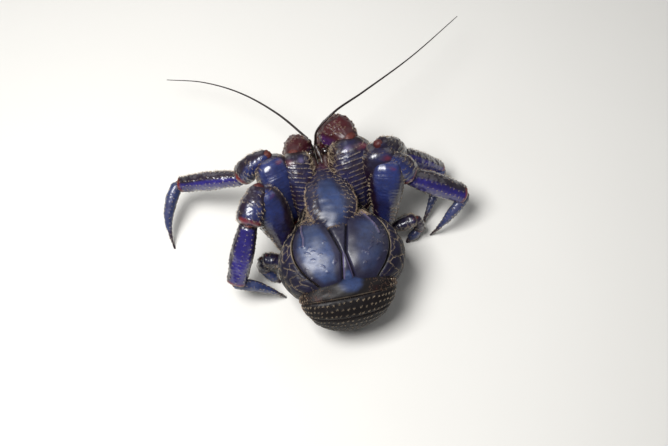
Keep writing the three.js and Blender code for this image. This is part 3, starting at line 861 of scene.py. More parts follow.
def segment(kind, size, at, turn, offset=(0, 0, 0), lean=0.0, grow=0.0):
    """A limb segment as a tube. s runs along it from 0 to 1, t round it in turns from underneath."""
    long, wide, high, arch = size
    form = FORMS[kind]
    tuck = JOINT_TUCK * form["neck"] * wide if kind != "finger" else 0.0
    dome = form["dome"] * wide / long
    far = dome * form["tip"]
    turn, at, offset = np.array(turn), np.array(at, float), np.array(offset, float)

    def point(s, t):
        s = np.asarray(s, float)
        swell = np.where(
            s < form["belly"],
            form["neck"] + (1 - form["neck"]) * smooth(0, form["belly"], s),
            1 + (form["tip"] - 1) * smooth(form["belly"], 1, s),
        )
        close = np.sqrt(np.clip(1 - (1 - np.clip(s / dome, 0, 1)) ** 2, 0, 1))
        close = close * np.sqrt(np.clip(1 - (1 - np.clip((1 - s) / far, 0, 1)) ** 2, 0, 1))
        angle = TAU * (np.asarray(t, float) - 0.25)
        bow = 4 * s * (1 - s)
        x = lean * bow + (swell * close * wide / 2 + grow) * soften(np.cos(angle), form["power"])
        z = arch * bow + (swell * close * high / 2 + grow) * soften(np.sin(angle), form["power"])
        return (stack(x, s * (long + tuck) - tuck, z) + offset) @ turn.T + at

    steps = 9
    quarter = np.linspace(0.1, math.pi / 2, steps)[:-1]
    start = dome * (1 - np.cos(quarter))
    end = 1 - far * (1 - np.cos(quarter))[::-1]
    s = np.concatenate([start, np.linspace(dome, 1 - far, cells(long)), end])
    t = np.arange(cells(math.pi * (wide + high) / 2, 16))
    made = Surface(point, s, t / len(t), point(0.5, np.array([0, 0.5])).mean(0), loop=True)
    made.height += 0.22 * wobble(made.base, 9, int(long * 7 + wide)) + 0.07 * wobble(made.base, 3, int(long))
    # Painted shade: shell turned away from OVERHEAD darkens towards the dark shade, which on the undersides
    # is partly their real red-brown.
    made.dark = 0.9 * smooth(0.2, -0.5, made.normal @ OVERHEAD)
    return made


def rod(points, radii, step, sides=12):
    """A tapering tube along a smooth curve through points."""
    path = curve_through(np.array(points, float), 400)
    ways = unit(np.gradient(path, axis=0))
    sides_of = [unit(np.cross(ways[0], (0.3, 0.2, 1.0)))]
    for way in ways[1:]:
        sides_of.append(unit(sides_of[-1] - way * np.dot(sides_of[-1], way)))
    across = np.array(sides_of)
    up = np.cross(ways, across)
    share = np.linspace(0, 1, len(path))
    length = np.linalg.norm(np.diff(path, axis=0), axis=1).sum()

    def along(values, s):
        return np.stack([np.interp(s, share, values[:, i]) for i in range(3)], axis=-1)

    def point(s, t):
        s = np.clip(np.asarray(s, float), 0, 1)
        angle = (TAU * np.asarray(t, float))[..., None]
        end = 0.5 * radii[1] / length
        close = np.sqrt(np.clip(1 - (1 - np.clip((1 - s) / end, 0, 1)) ** 2, 0.02, 1))
        radius = ((radii[0] + (radii[1] - radii[0]) * s) * close)[..., None]
        return along(path, s) + radius * (along(across, s) * np.cos(angle) + along(up, s) * np.sin(angle))

    s = np.linspace(0, 1, max(12, int(length / step)))
    return Surface(point, s, np.arange(sides) / sides, path.mean(0), loop=True), length


def curve_through(points, count):
    """Evenly spaced places on a centripetal curve through points."""
    ends = [2 * points[0] - points[1], *points, 2 * points[-1] - points[-2]]
    pieces = []
    for a, b, c, d in zip(ends, ends[1:], ends[2:], ends[3:]):
        gap = [max(1e-4, np.linalg.norm(q - p) ** 0.5) for p, q in ((a, b), (b, c), (c, d))]
        leave = ((b - a) / gap[0] - (c - a) / (gap[0] + gap[1]) + (c - b) / gap[1]) * gap[1]
        arrive = ((c - b) / gap[1] - (d - b) / (gap[1] + gap[2]) + (d - c) / gap[2]) * gap[1]
        t = np.linspace(0, 1, 60)[:, None]
        cubic = 2 * b - 2 * c + leave + arrive
        square = -3 * b + 3 * c - 2 * leave - arrive
        pieces.append(b + leave * t + square * t**2 + cubic * t**3)
    path = np.concatenate(pieces)
    run = np.concatenate([[0], np.cumsum(np.linalg.norm(np.diff(path, axis=0), axis=1))])
    even = np.linspace(0, run[-1], count)
    return np.stack([np.interp(even, run, path[:, i]) for i in range(3)], axis=1)


def net(width, height, side, rng, kept=0.86):
    """Edges of a loose net of six-sided cells over a rectangle, as pairs of corners."""
    moved = {}

    def corner(x, y):
        key = (round(x, 1), round(y, 1))
        if key not in moved:
            moved[key] = (x + rng.normal() * side * 0.22, y + rng.normal() * side * 0.22)
        return moved[key]

    edges = []
    for j in range(-1, int(height / side / 1.5) + 2):
        for i in range(-1, int(width / side / math.sqrt(3)) + 2):
            x = math.sqrt(3) * side * (i + (j % 2) / 2)
            y = 1.5 * side * j
            turns = [math.radians(60 * k) for k in range(4)]
            ring = [(x + side * math.sin(turn), y + side * math.cos(turn)) for turn in turns]
            for a, b in zip(ring, ring[1:]):
                if rng.random() < kept and 0 < (a[0] + b[0]) / 2 < width and 0 < (a[1] + b[1]) / 2 < height:
                    edges.append((corner(*a), corner(*b)))
    return edges


def dash(s, t, half_s, half_t, bow=0.0):
    """A short line across (s, t), bowed along s."""
    return [(s - half_s, t - half_t), (s + bow, t), (s + half_s, t + half_t)]


def roll_edges(plate, share=1.0):
    """Rolls the edges of a plate down into its seams, and darkens them."""
    sizes = bpy.context.scene.crab_shell
    edge = plate.edge()
    plate.height -= share * sizes.groove / MM * (1 - smooth(0, sizes.roll / MM * 1.3, edge)) ** 1.5
    plate.dark = np.maximum(plate.dark, 1 - smooth(0.4, 1.6, edge))
    return edge


def ridge_sizes():
    """Height and half width of the ridges under the bristles, in millimetres."""
    sizes = bpy.context.scene.crab_shell
    return sizes.ridge_height / MM, sizes.ridge_width / MM * 1.4


def spacing():
    """Millimetres between bristles along a line."""
    return bpy.context.scene.crab_bristles.spacing / MM


def plate_material(name, **finish):
    """Shell in this crab's colours."""
    c = bpy.context.scene.crab_colours
    # Each row gives base, upper, blush, dark and pale. On limb pieces the dark shade also takes painted shade
    # on sides turned from the light, and on legs, feet and claw arms the pale shade takes painted highlights
    # as well as pale marks.
    shades = {
        "Gill plate": (c.plate_violet, c.plate_blue, c.blush, c.plate_deep, c.pale_violet),
        "Shield": (c.plate_violet, c.plate_blue, c.blush, c.leg_deep, c.rust),
        "Flank": (c.flank, c.plate_violet, c.edge_brown, c.tail, c.bristle),
        "Back plate": (c.tail, c.plate_blue, c.blush, c.flank, c.bristle),
        "Leg": (c.leg_deep, c.leg_blue, c.blush, c.under, c.pale_violet),
        "Foot": (c.foot, c.foot_blue, c.edge_brown, c.leg_deep, c.pale_violet),
        "Claw arm": (c.claw_deep, c.leg_blue, c.blush, c.under, c.pale_violet),
        "Feeler": (c.feeler, c.edge_brown, c.blush, c.tail, c.rust),
        "Leg end": (c.leg_deep, c.leg_violet, c.blush, c.under, c.pale_violet),
        "Claw": (c.claw_deep, c.claw_maroon, c.blush, c.under, c.claw_violet),
    }[name]
    return shell_material(name, shades, **finish)


class CRAB_OT_stage(bpy.types.Operator):
    """Add the floor, the lights, the camera and the even light of the room"""

    bl_idname = "crab.stage"
    bl_label = "Stage, light and camera"

    def execute(self, context):
        stage = context.scene.crab_stage
        half = 3.0
        corners = [(-half, -half, 0), (half, -half, 0), (half, half, 0), (-half, half, 0)]
        mesh = bpy.data.meshes.new("floor")
        mesh.from_pydata(corners, [], [(0, 1, 2, 3)])
        floor = bpy.data.objects.new("floor", mesh)
        context.scene.collection.objects.link(floor)
        sh = Shader("Floor")
        cloud = sh.noise(6, 3)
        tint = sh.mix(sh.spread(cloud, 0.3, 0.7, 0.0, 0.08), tuple(stage.floor), colour("cfccc6"))
        relief = sh.bump(sh.noise(900, 2), 0.05, 0.0002)
        mesh.materials.append(sh.finish({"Base Color": tint, "Roughness": 0.75, "Normal": relief}))

        middle = Vector((0.0, 0.09, 0.04))
        for name, place, power, size in (
            ("key", (-0.33, -0.03, 0.87), stage.key, 0.42),
            ("fill", (0.7, 0.5, 0.8), stage.fill, 0.7),
            ("rim", (-0.3, 0.9, 0.45), stage.fill * 0.6, 0.5),
        ):
            lamp = bpy.data.lights.new(name, "AREA")
            lamp.energy = power
            lamp.size = size
            made = bpy.data.objects.new(name, lamp)
            made.location = place
            made.rotation_euler = (middle - Vector(place)).to_track_quat("-Z", "Y").to_euler()
            context.scene.collection.objects.link(made)
        world = bpy.data.worlds.new("Room")
        world.use_nodes = True
        world.node_tree.nodes["Background"].inputs["Color"].default_value = (0.93, 0.96, 1.0, 1)
        world.node_tree.nodes["Background"].inputs["Strength"].default_value = stage.sky
        context.scene.world = world

        data = bpy.data.cameras.new("camera")
        data.lens = stage.lens
        data.sensor_width = 36
        data.clip_start = 0.01
        camera = bpy.data.objects.new("camera", data)
        turn, dip = stage.turn, stage.dip
        ahead = Vector((math.sin(turn) * math.cos(dip), math.cos(turn) * math.cos(dip), -math.sin(dip)))
        right = Vector((math.cos(turn), -math.sin(turn), 0))
        above = right.cross(ahead)
        turned_to = Matrix((right, above, -ahead)).transposed().to_4x4()
        camera.matrix_world = Matrix.Translation(Vector(CAMERA_PLACE) * MM) @ turned_to
        context.scene.collection.objects.link(camera)
        context.scene.camera = camera
        context.scene.view_settings.view_transform = "Standard"
        return {"FINISHED"}


class CRAB_OT_carapace(bpy.types.Operator):
    """Add the heart plate, the two gill plates and the two flanks, with the bristles on them"""

    bl_idname = "crab.carapace"
    bl_label = "Carapace"

    def execute(self, context):
        coat = Coat(11)
        material = plate_material("Gill plate", gloss=0.36, coat=0.8, haze=0.36, shine=0.3)
        self.heart(material)
        for side, sign in (("left", -1), ("right", 1)):
            self.gill(side, sign, material, coat)
            self.flank(side, sign, coat)
        coat.grow("bristles_carapace", "flank")
        return {"FINISHED"}

    def heart(self, material):
        """The narrow plate down the middle of the back."""
        long = FRONT_Y - REAR_Y

        def point(s, t):
            y = REAR_Y + s * long
            return thorax_roof((2 * t - 1) * (heart_line(y) - 0.15), y)

        plate = Surface(point, np.linspace(0, 1, cells(long)), np.linspace(0, 1, cells(12)), (0, 40, 20))
        plate.height += 0.5 * np.sin(math.pi * plate.T) + 0.12 * wobble(plate.base, 5, 2) - 0.2
        edge = roll_edges(plate, 0.7)
        y = plate.base[..., 1]
        plate.pale = 0.7 * hump(edge, 1.0, 0.6) * smooth(28, 18, y)
        plate.upper = smooth(0.8, 2.6, edge) * smooth(10, 4, y)
        plate.dark = np.maximum(plate.dark, 0.3 * smooth(14, 30, y))
        body("carapace_heart_plate", [plate], material, "plate", "carapace_heart")

    def gill(self, side, sign, material, coat):
        """A wide plate beside the heart plate, swollen over the gills."""
        rng = np.random.default_rng(21 + sign)
        long = FRONT_Y - REAR_Y

        def point(s, t):
            y = REAR_Y + s * long
            inner = heart_line(y) + 0.15
            return thorax_roof(sign * (inner + (side_line(y) - 0.15 - inner) * t), y)

        plate = Surface(point, np.linspace(0, 1, cells(long)), np.linspace(0, 1, cells(36)), (0, 40, 20))
        x, y = plate.base[..., 0], plate.base[..., 1]
        swell = np.sin(math.pi * plate.T) ** 0.6
        plate.height += 1.5 * swell * np.sin(math.pi * np.clip(plate.S * 1.35, 0, 1)) ** 0.5
        plate.height += 0.16 * wobble(plate.base, 14, 5) + 0.03 * wobble(plate.base, 4, 6)
        edge = roll_edges(plate)
        # The right plate gets half the blue, as painted shade on the side turned from the light.
        plate.upper = smooth(1.0, 11, edge) * smooth(60, 40, y) * (1.0 if sign < 0 else 0.5)
        outer = (side_line(y) - np.abs(x)) * (plate.T > 0.5) + 99 * (plate.T <= 0.5)
        seam = hump(edge, 1.0, 0.5) * (plate.T < 0.4) * smooth(30, 20, y)
        plate.pale = 0.35 * hump(outer, 0.8, 0.5) + 0.35 * seam
        plate.dark = np.maximum(plate.dark, 0.85 * smooth(50, 64, y))

        def place(x_at, y_at):
            inner = heart_line(y_at) + 0.15
            return (y_at - REAR_Y) / long, (abs(x_at) - inner) / (side_line(y_at) - 0.15 - inner)

        knots = {
            "left": ((27, 53), (28.5, 47), (28.2, 40), (29.6, 33)),
            "right": ((22, 55), (26, 47), (30, 39), (31.5, 33)),
        }
        ridge = [place(a, b) for a, b in knots[side]]
        marks = []
        for _ in range(20 if sign > 0 else 13):
            s, t = rng.uniform(0.06, 0.52), rng.uniform(0.35 if sign > 0 else 0.1, 0.94)
            marks.append(dash(s, t, rng.normal() * 0.008, 0.04, 0.008))
        front = []
        for _ in range(95):
            s, t = rng.uniform(0.62, 0.99), rng.uniform(0.02, 0.99)
            front.append(dash(s, t, rng.normal() * 0.012, 0.09, 0.012))
        high, wide = ridge_sizes()
        plate.ridge([ridge], 0.9, 2.2)
        plate.ridge(marks + front, high, wide)
        plate.pale = np.maximum(plate.pale, 0.9 * plate.near([ridge], 1.6))
        plate.pale = np.maximum(plate.pale, 0.6 * plate.near(marks, 0.7))
        name = f"carapace_gill_{side}"
        body(name + "_plate", [plate], material, "plate", name)
        step = spacing()
        coat.add(plate, *plate.places([ridge], step * 0.8), (0.3, 1.0), 0.3, 0.6, 0.1, 0.6)
        coat.add(plate, *plate.places(marks, step), (1.0, 0.3), 0.15, 0.55, 0.0)
        coat.add(plate, *plate.places(front, step), (1.0, 0.2), 0.35, 1.0, 0.3)
        rim = [(s, 0.985) for s in np.linspace(0.02, 0.98, 30)]
        coat.add(plate, *plate.places([rim], step * 1.6), (0.8, 0.5), 0.1, 0.45, 0.0, 0.4)

    def flank(self, side, sign, coat):
        """The side of the carapace below the side line, under its net of bristle lines."""
        rng = np.random.default_rng(31 + sign)
        long = FRONT_Y - REAR_Y
        down = 46.0

        def point(s, t):
            y = REAR_Y + s * long
            middle = (thorax_top(y) + thorax_bottom(y)) / 2
            half = (thorax_top(y) - thorax_bottom(y)) / 2
            power = THORAX_POWER / 2
            first = np.arccos(np.clip((side_line(y) + 0.15) / thorax_width(y), 0, 1) ** power)
            drop = np.clip((UNDERSIDE_Z - middle) / half, -1, 1)
            last = np.arcsin(np.sign(drop) * np.abs(drop) ** power)
            angle = first + (last - first) * t
            made = thorax_ring(y, angle)
            made[..., 0] *= sign
            return made

        plate = Surface(point, np.linspace(0, 1, cells(long)), np.linspace(0, 1, cells(down)), (0, 40, 30))
        y = plate.base[..., 1]
        plate.height += 0.25 * wobble(plate.base, 11, 8)
        edge = roll_edges(plate, 0.8)
        plate.upper = 0.75 * smooth(0.7, 0.05, plate.T) * smooth(60, 40, y)
        plate.blush = 0.55 * smooth(0.5, 0.9, plate.T) + 0.3 * smooth(55, 75, y)
        lines = [np.array(edge_of) / (long, down) for edge_of in net(long, down, 4.3, rng)]
        lines = [np.clip(line, 0.012, 0.988) for line in lines]
        net_points = np.concatenate([point(*plate.follow(line, 0.8)) for line in lines])
        plate.height += 0.45 * smooth(0, 2.2, distances(plate.base, net_points))
        plate.ridge(lines, 0.25, 0.8)
        rim_glow = hump(edge, 0.6, 0.4) * (plate.T < 0.2) * (y < 50)
        plate.pale = 0.55 * np.maximum(plate.near(lines, 0.8), rim_glow)
        name = f"carapace_flank_{side}"
        material = plate_material("Flank", gloss=0.4, coat=0.15, haze=0.3, shine=0.25)
        body(name + "_plate", [plate], material, "flank", name)
        step = spacing()
        coat.add(plate, *plate.places(lines, step * 0.45), (-0.4, 0.6), 0.22, 0.75, 0.05, 0.45)
        rim = [(s, 0.012) for s in np.linspace(0.02, 0.98, 30)]
        coat.add(plate, *plate.places([rim], step * 2.0), (-0.6, 0.6), 0.15, 0.6, 0.1, 0.8)
        hem = [(s, 0.985) for s in np.linspace(0.01, 0.99, 30)]
        coat.add(plate, *plate.places([hem, hem], step * 0.8), (-0.2, 1.0), 0.3, 1.3, 0.6, 0.35)
        rear = [(0.012, t) for t in np.linspace(0.02, 0.98, 20)]
        coat.add(plate, *plate.places([rear, rear], step * 0.7), (-1.0, 0.1), 0.25, 1.0, 0.5, 0.35)


class CRAB_OT_shield(bpy.types.Operator):
    """Add the front shield with its pointed rostrum, its ticks of bristles and its thick rear fringe"""

    bl_idname = "crab.shield"
    bl_label = "Front shield"

    def execute(self, context):
        rng = np.random.default_rng(41)
        long = ROSTRUM_Y - SHIELD_REAR_Y

        def point(s, t):
            y = SHIELD_REAR_Y + s * long
            width = shield_width(y)
            deep = SHIELD_DEPTH * np.minimum(1, 0.3 + width / SHIELD_HALF)
            angle = TAU * (t - 0.25)
            x = width * soften(np.cos(angle), SHIELD_POWER)
            return stack(x, y, shield_top(y) - deep / 2 + deep / 2 * soften(np.sin(angle), SHIELD_POWER))

        def place(x, y):
            share = np.clip(x / shield_width(y), -0.97, 0.97)
            angle = np.arccos(np.sign(share) * np.abs(share) ** (SHIELD_POWER / 2))
            return (y - SHIELD_REAR_Y) / long, angle / TAU + 0.25

        n = cells(105)
        shield = Surface(point, np.linspace(0, 1, cells(long)), np.arange(n) / n, (0, 70, 66), loop=True)
        x, y = shield.base[..., 0], shield.base[..., 1]
        top = smooth(0.2, 0.5, shield.normal[..., 2])
        shield.height += 0.2 * wobble(shield.base, 9, 3)
        groove = hump(np.abs(x) - 0.36 * shield_width(y) - 2.5, 0, 1.6) * top
        shield.height -= 0.55 * groove * smooth(56, 64, y) * smooth(100, 90, y)
        shield.upper = smooth(1.4, 0.3, np.hypot(x / 12.5, (y - 64) / 27.0)) * top
        shield.blush = 0.3 * smooth(88, 108, y) * top
        ticks = []
        for row, y_at in enumerate(np.arange(50, 110, 3.9)):
            half = float(shield_width(y_at)) * 0.95
            for x_at in np.arange(-half + (row % 2) * 2.3, half, 4.7):
                x_at = x_at + rng.normal() * 0.5
                inside = math.hypot(x_at / 9.5, (y_at - 64) / 25.0) < 1
                if inside or rng.random() < 0.1:
                    continue
                wide = rng.uniform(1.3, 2.4)
                slope = 0.12 * x_at
                ends = (x_at - wide, y_at + slope * 0.5), (x_at + wide, y_at - slope * 0.5)
                line = (ends[0], (x_at, y_at - 0.7), ends[1])
                ticks.append([place(a, b) for a, b in line])
        high, wide = ridge_sizes()
        shield.ridge(ticks, high, wide)
        u_line = [(s, 0.295) for s in np.linspace(0.42, 0.06, 16)]
        u_line += [(0.045, t) for t in np.linspace(0.31, 0.69, 12)]
        u_line += [(s, 0.705) for s in np.linspace(0.06, 0.42, 16)]
        shield.ridge([u_line], 0.5, 1.6)
        shield.pale = np.maximum(0.45 * shield.near([u_line], 1.2), 0.5 * shield.near(ticks, 0.6))
        material = plate_material("Shield", gloss=0.34, coat=0.75, haze=0.36, shine=0.3)
        body("shield_plate", [shield], material, "plate", "shield")
        coat = Coat(42)
        step = spacing()
        coat.add(shield, *shield.places(ticks, step * 0.7), (0.9, 0.0), 0.3, 0.8, 0.1, 0.35)
        coat.add(shield, *shield.places([u_line] * 2, step * 1.3), (-0.6, 0.0), 0.4, 1.5, 0.4, 0.9, 0.2, 0.7)
        run = np.linspace(0.15, 0.97, 20)
        fringe = [[(s, edge + rng.normal() * 0.004) for s in run] for edge in (0.265, 0.735) * 2]
        coat.add(shield, *shield.places(fringe, step * 1.3), (0.8, 0.0), 0.4, 1.9, 0.3, 0.9, 0.25, 0.6)
        coat.grow("bristles_shield", "plate")
        return {"FINISHED"}


class CRAB_OT_abdomen(bpy.types.Operator):
    """Add the five back plates of the abdomen and the tail fan, with their rows of bristles"""

    bl_idname = "crab.abdomen"
    bl_label = "Abdomen"

    def execute(self, context):
        coat = Coat(51)
        material = plate_material("Back plate", gloss=0.42, coat=0.12, haze=0.34, shine=0.22)
        for i, (first, last) in enumerate(zip(TERGITE_EDGES, TERGITE_EDGES[1:])):
            self.tergite(i, first, last, material, coat)
        self.fan(material)
        coat.grow("bristles_abdomen", "tail")
        return {"FINISHED"}

    def tergite(self, i, first, last, material, coat):
        """One plate over the back."""
        rng = np.random.default_rng(60 + i)

        def point(s, t):
            degrees = first + (last - first) * s
            outer = tail_outer(degrees)
            share = (2 * tail_split(degrees) - TAIL_INNER - outer) / (outer - TAIL_INNER)
            start = np.arcsin(np.sign(share) * np.abs(share) ** (TAIL_POWER / 2))
            return tail_ring(degrees, start + (math.pi - 2 * start) * t)

        middle = math.radians((first + last) / 2)
        inside = (0, PIVOT_Y - 15 * math.sin(middle), PIVOT_Z + 15 * math.cos(middle))
        plate = Surface(point, np.linspace(0, 1, cells(16)), np.linspace(0, 1, cells(118)), inside)
        x = plate.base[..., 0]
        plate.height += 0.5 * plate.S + 0.16 * wobble(plate.base, 10, 70 + i)
        edge = roll_edges(plate, 0.5)
        plate.pale = 0.35 * hump(edge, 0.9, 0.5) * (plate.S > 0.5)
        if i == 0:
            bump = smooth(1.1, 0.3, np.hypot((x - 1) / (17 - 5 * plate.S), (plate.S - 0.5) / 0.46))
            plate.height += 0.8 * bump
            plate.upper = 0.8 * bump
            ends = smooth(11, 18, np.abs(x - 1)) * smooth(0.45, 0.8, plate.S)
            plate.blush = 0.17 * ends
            plate.pale = np.maximum(plate.pale, 0.4 * hump(plate.S, 0.94, 0.03) * smooth(22, 14, np.abs(x)))
        plate.blush = np.maximum(plate.blush, 0.3 * smooth(0.2, 0.03, np.minimum(plate.T, 1 - plate.T)))
        rows = (0.2, 0.5, 0.8) if i else (0.55, 0.8)
        marks = []
        for k, s in enumerate(rows):
            for t in np.arange(0.03 + 0.018 * (k % 2), 0.97, 0.034):
                if i == 0 and 0.22 < t < 0.78:
                    continue
                t_at, s_at = t + rng.normal() * 0.003, s + rng.normal() * 0.02
                marks.append(dash(s_at, t_at, 0.02, 0.0078, 0.01))
        plate.ridge(marks, 0.45, 0.9)
        plate.pale = np.maximum(plate.pale, 0.75 * plate.near(marks, 0.65))
        name = f"tergite_{i + 1}"
        body(name + "_plate", [plate], material, "tail", name)
        step = spacing()
        coat.add(plate, *plate.places(marks, step * 0.8), (1.0, 0.0), 0.3, 0.8, 0.02, 0.25)
        if i == 0:
            s, t = rng.uniform(0.35, 0.95, 360), 0.5 + rng.choice((-1, 1), 360) * rng.uniform(0.1, 0.48, 360)
            coat.add(plate, s, t, (0.9, 0.0), 0.35, 1.25, 0.75, 0.9, 0.2, 0.7)
        hem = [[(s, t) for s in np.linspace(0.05, 0.95, 8)] for t in (0.012, 0.04, 0.96, 0.988)]
        coat.add(plate, *plate.places(hem * 2, step * 0.7), (1.0, 0.0), 0.4, 1.3, 0.75, 0.5)
        rear = [(0.985, t) for t in np.linspace(0.01, 0.99, 60)]
        coat.add(plate, *plate.places([rear], step * (1.6 if i else 4)), (1.0, 0.0), 0.12, 0.6, 0.4, 0.4)

    def fan(self, material):
        """The tail fan, folded flat under the belly."""

        def point(s, t):
            close = np.sqrt(np.clip(1 - (2 * s - 1) ** 8, 0.01, 1))
            angle = TAU * (t - 0.25)
            half = 22 * np.sqrt(1 - 0.75 * s * s) * close
            x = TAIL_SWING * (1 - s) + half * soften(np.cos(angle), 2.4)
            return stack(x, 6 + 36 * s, 9 - 1.5 * s + (10 - 4 * s) * close * soften(np.sin(angle), 2.4))

        tail = Surface(point, np.linspace(0, 1, cells(38)), np.arange(140) / 140, (0, 24, 8), loop=True)
        tail.height += 0.15 * wobble(tail.base, 6, 12)
        blades = [[(s, t) for s in np.linspace(0.1, 0.9, 9)] for t in (-0.1, 0.1)]
        tail.ridge([np.array(b) for b in blades], -0.6, 1.2)
        body("tail_fan_plate", [tail], material, "tail", "tail_fan")


def ball(centre, radius, rows, sides, pole):
    """A round closed shape. Its rows stop short of each pole by `pole`, as a share of a half turn."""

    def point(s, t):
        angle = math.pi * (pole + (1 - 2 * pole) * s)
        ring = radius * np.sin(angle)
        return stack(ring * np.cos(TAU * t), ring * np.sin(TAU * t), radius * np.cos(angle)) + centre

    return Surface(point, np.linspace(0, 1, rows), np.arange(sides) / sides, centre, loop=True)


def jaw_line(sign):
    """The three points along a jaw leg, on one side of the mouth."""
    return (sign * 4.6, 84, 28), (sign * 4.6, 94, 33), (sign * 4, 102, 43)


def joints():
    """The centre and the radius of every limb joint, from the limbs' own sizes."""
    found = []
    for (pair, _), (hip, _, turns) in LEGS.items():
        at = np.array(hip, float)
        for (kind, size), turn in zip(LEG_SIZES[pair].items(), turns):
            slope = turn[1] if len(turn) > 1 else -math.degrees(math.asin((at[2] + SINK) / size[0]))
            found.append((at, 0.42 * size[1] * FORMS[kind]["neck"]))
            at = at + direction(turn[0], slope) * size[0]
    for claw in CLAWS.values():
        at = np.array(claw["hip"], float)
        found.append((at, 0.28 * claw["merus"][1]))
        at = at + direction(*claw["merus_turn"]) * (claw["merus"][0] - 3)
        found.append((at, 0.24 * claw["carpus"][1]))
        at = at + direction(*claw["carpus_turn"]) * (claw["carpus"][0] - 2)
        found.append((at, 0.2 * claw["palm"][1]))
    return found


class CRAB_OT_skin(bpy.types.Operator):
    """Add the soft skin under the plates, round the mouth and in the joints, as one piece"""

    bl_idname = "crab.skin"
    bl_label = "Skin"

    def execute(self, context):
        raw = object_from("skin_raw", *join([shape.mesh(1) for shape in self.flesh()])[:3], {})
        remesh = raw.modifiers.new("Join", "REMESH")
        remesh.mode = "VOXEL"
        remesh.voxel_size = 1.25 * MM
        even = raw.modifiers.new("Even", "SMOOTH")
        even.iterations = 3
        mesh = plain_mesh(raw)
        bpy.data.objects.remove(raw)
        self.wrinkle(mesh)
        made = bpy.data.objects.new("skin", mesh)
        mesh.name = "skin"
        context.scene.collection.objects.link(made)
        nodes = ["thorax_underside", "face", "abdomen_skin"]
        nodes += [f"{part}_{side}" for part in ("maxilliped", "eyestalk") for side in ("left", "right")]
        settle(made, self.material(), "skin", *nodes)
        return {"FINISHED"}

    def flesh(self):
        """Closed shapes that together make the skin."""
        cell = 1.3
        around = np.arange(90) / 90

        def tube(point, long, inside):
            return Surface(point, np.linspace(0, 1, int(long / cell)), around, inside, loop=True)

        def thorax(s, t):
            y = REAR_Y + 1 + s * (FRONT_Y - REAR_Y - 2)
            made = thorax_ring(y, TAU * t, 2.4)
            low = smooth(30, 25, made[..., 2])
            full = thorax_ring(y, TAU * t)
            return made + (full - made) * low[..., None]

        def face(s, t):
            y = 66 + 40 * s
            close = np.sqrt(np.clip(1 - smooth(0.85, 1.0, s) ** 2, 0.05, 1))
            top, bottom = face_top(y), face_bottom(y)
            x = face_width(y) * close * np.cos(TAU * t)
            return stack(x, y, (top + bottom) / 2 + (top - bottom) / 2 * close * np.sin(TAU * t))

        def tail(s, t):
            degrees = -2 + 180 * s
            made = tail_ring(degrees, TAU * t, 2.6)
            full = tail_ring(degrees, TAU * t)
            bare = smooth(126, 132, np.broadcast_to(degrees, made.shape[:-1]))
            return made + (full - made) * bare[..., None]

        shapes = [tube(thorax, 80, (0, 40, 40)), tube(face, 40, (0, 86, 45)), tube(tail, 110, None)]
        for sign in (-1, 1):
            stalk = ((sign * 4, 100, 62.4), (sign * 5, 110, 65), (sign * 6, 117, 67))
            shapes.append(rod(jaw_line(sign), (4, 2.6), cell)[0])
            shapes.append(rod(stalk, (3.2, 2.9), cell)[0])
        for centre, radius in joints():
            shapes.append(ball(centre, radius, 14, 20, 0.02))
        return shapes

    def wrinkle(self, mesh):
        """Folds the skin a little, and marks where it shows in the joints and round the mouth."""
        count = len(mesh.vertices)
        points, normals = np.zeros(count * 3, np.float32), np.zeros(count * 3, np.float32)
        mesh.vertices.foreach_get("co", points)
        mesh.vertices.foreach_get("normal", normals)
        points, normals = points.reshape(-1, 3).astype(float) / MM, normals.reshape(-1, 3)
        centres = joints()
        gap = distances(points, np.array([c for c, _ in centres]))
        joint = smooth(13, 9, gap)
        belly = np.abs(np.sin(points[:, 1] * 0.55)) * smooth(14, 8, points[:, 2])
        rise = 0.25 * wobble(points, 4, 9) + 0.12 * wobble(points, 2, 10) - 0.3 * belly * (1 - joint)
        points += normals * rise[:, None]
        points[:, 2] = np.maximum(points[:, 2], 0)
        mesh.vertices.foreach_set("co", (points * MM).astype(np.float32).ravel())
        mouth = smooth(80, 88, points[:, 1]) * smooth(120, 100, points[:, 1])
        zone = np.stack([joint, mouth, smooth(30, 50, points[:, 2]), np.zeros(count)], axis=1)
        attribute = mesh.attributes.new("zone", "FLOAT_COLOR", "POINT")
        attribute.data.foreach_set("color", zone.astype(np.float32).ravel())
        mesh.polygons.foreach_set("use_smooth", np.ones(len(mesh.polygons), bool))
        mesh.update()

    def material(self):
        """Leathery skin, orange in the joints."""
        c = bpy.context.scene.crab_colours
        sh = Shader("Skin")
        zone = sh.node("ShaderNodeAttribute", attribute_name="zone")
        masks = sh.node("ShaderNodeSeparateColor", {0: zone.outputs["Color"]})
        blotch = sh.noise(140, 4)
        tint = sh.mix(sh.spread(blotch, 0.35, 0.7, 0.0, 0.7), tuple(c.skin), tuple(c.edge_brown))
        bare = sh.maths("MULTIPLY", masks.outputs[0], sh.spread(blotch, 0.2, 0.6, 0.5, 1.0))
        tint = sh.mix(bare, tint, tuple(c.membrane))
        tint = sh.mix(sh.maths("MULTIPLY", masks.outputs[1], 0.7), tint, tuple(c.claw_maroon))
        folds = sh.noise(420, 5, scale=(1, 2.2, 1), rough=0.6)
        relief = sh.bump(folds, 0.6, 0.0008)
        relief = sh.bump(sh.noise(1400, 3), 0.4, 0.0002, relief)
        rough = sh.spread(folds, 0.3, 0.7, 0.4, 0.62)
        return sh.finish(
            {"Base Color": tint, "Roughness": rough, "Normal": relief, "Subsurface Weight": 0.06}
        )


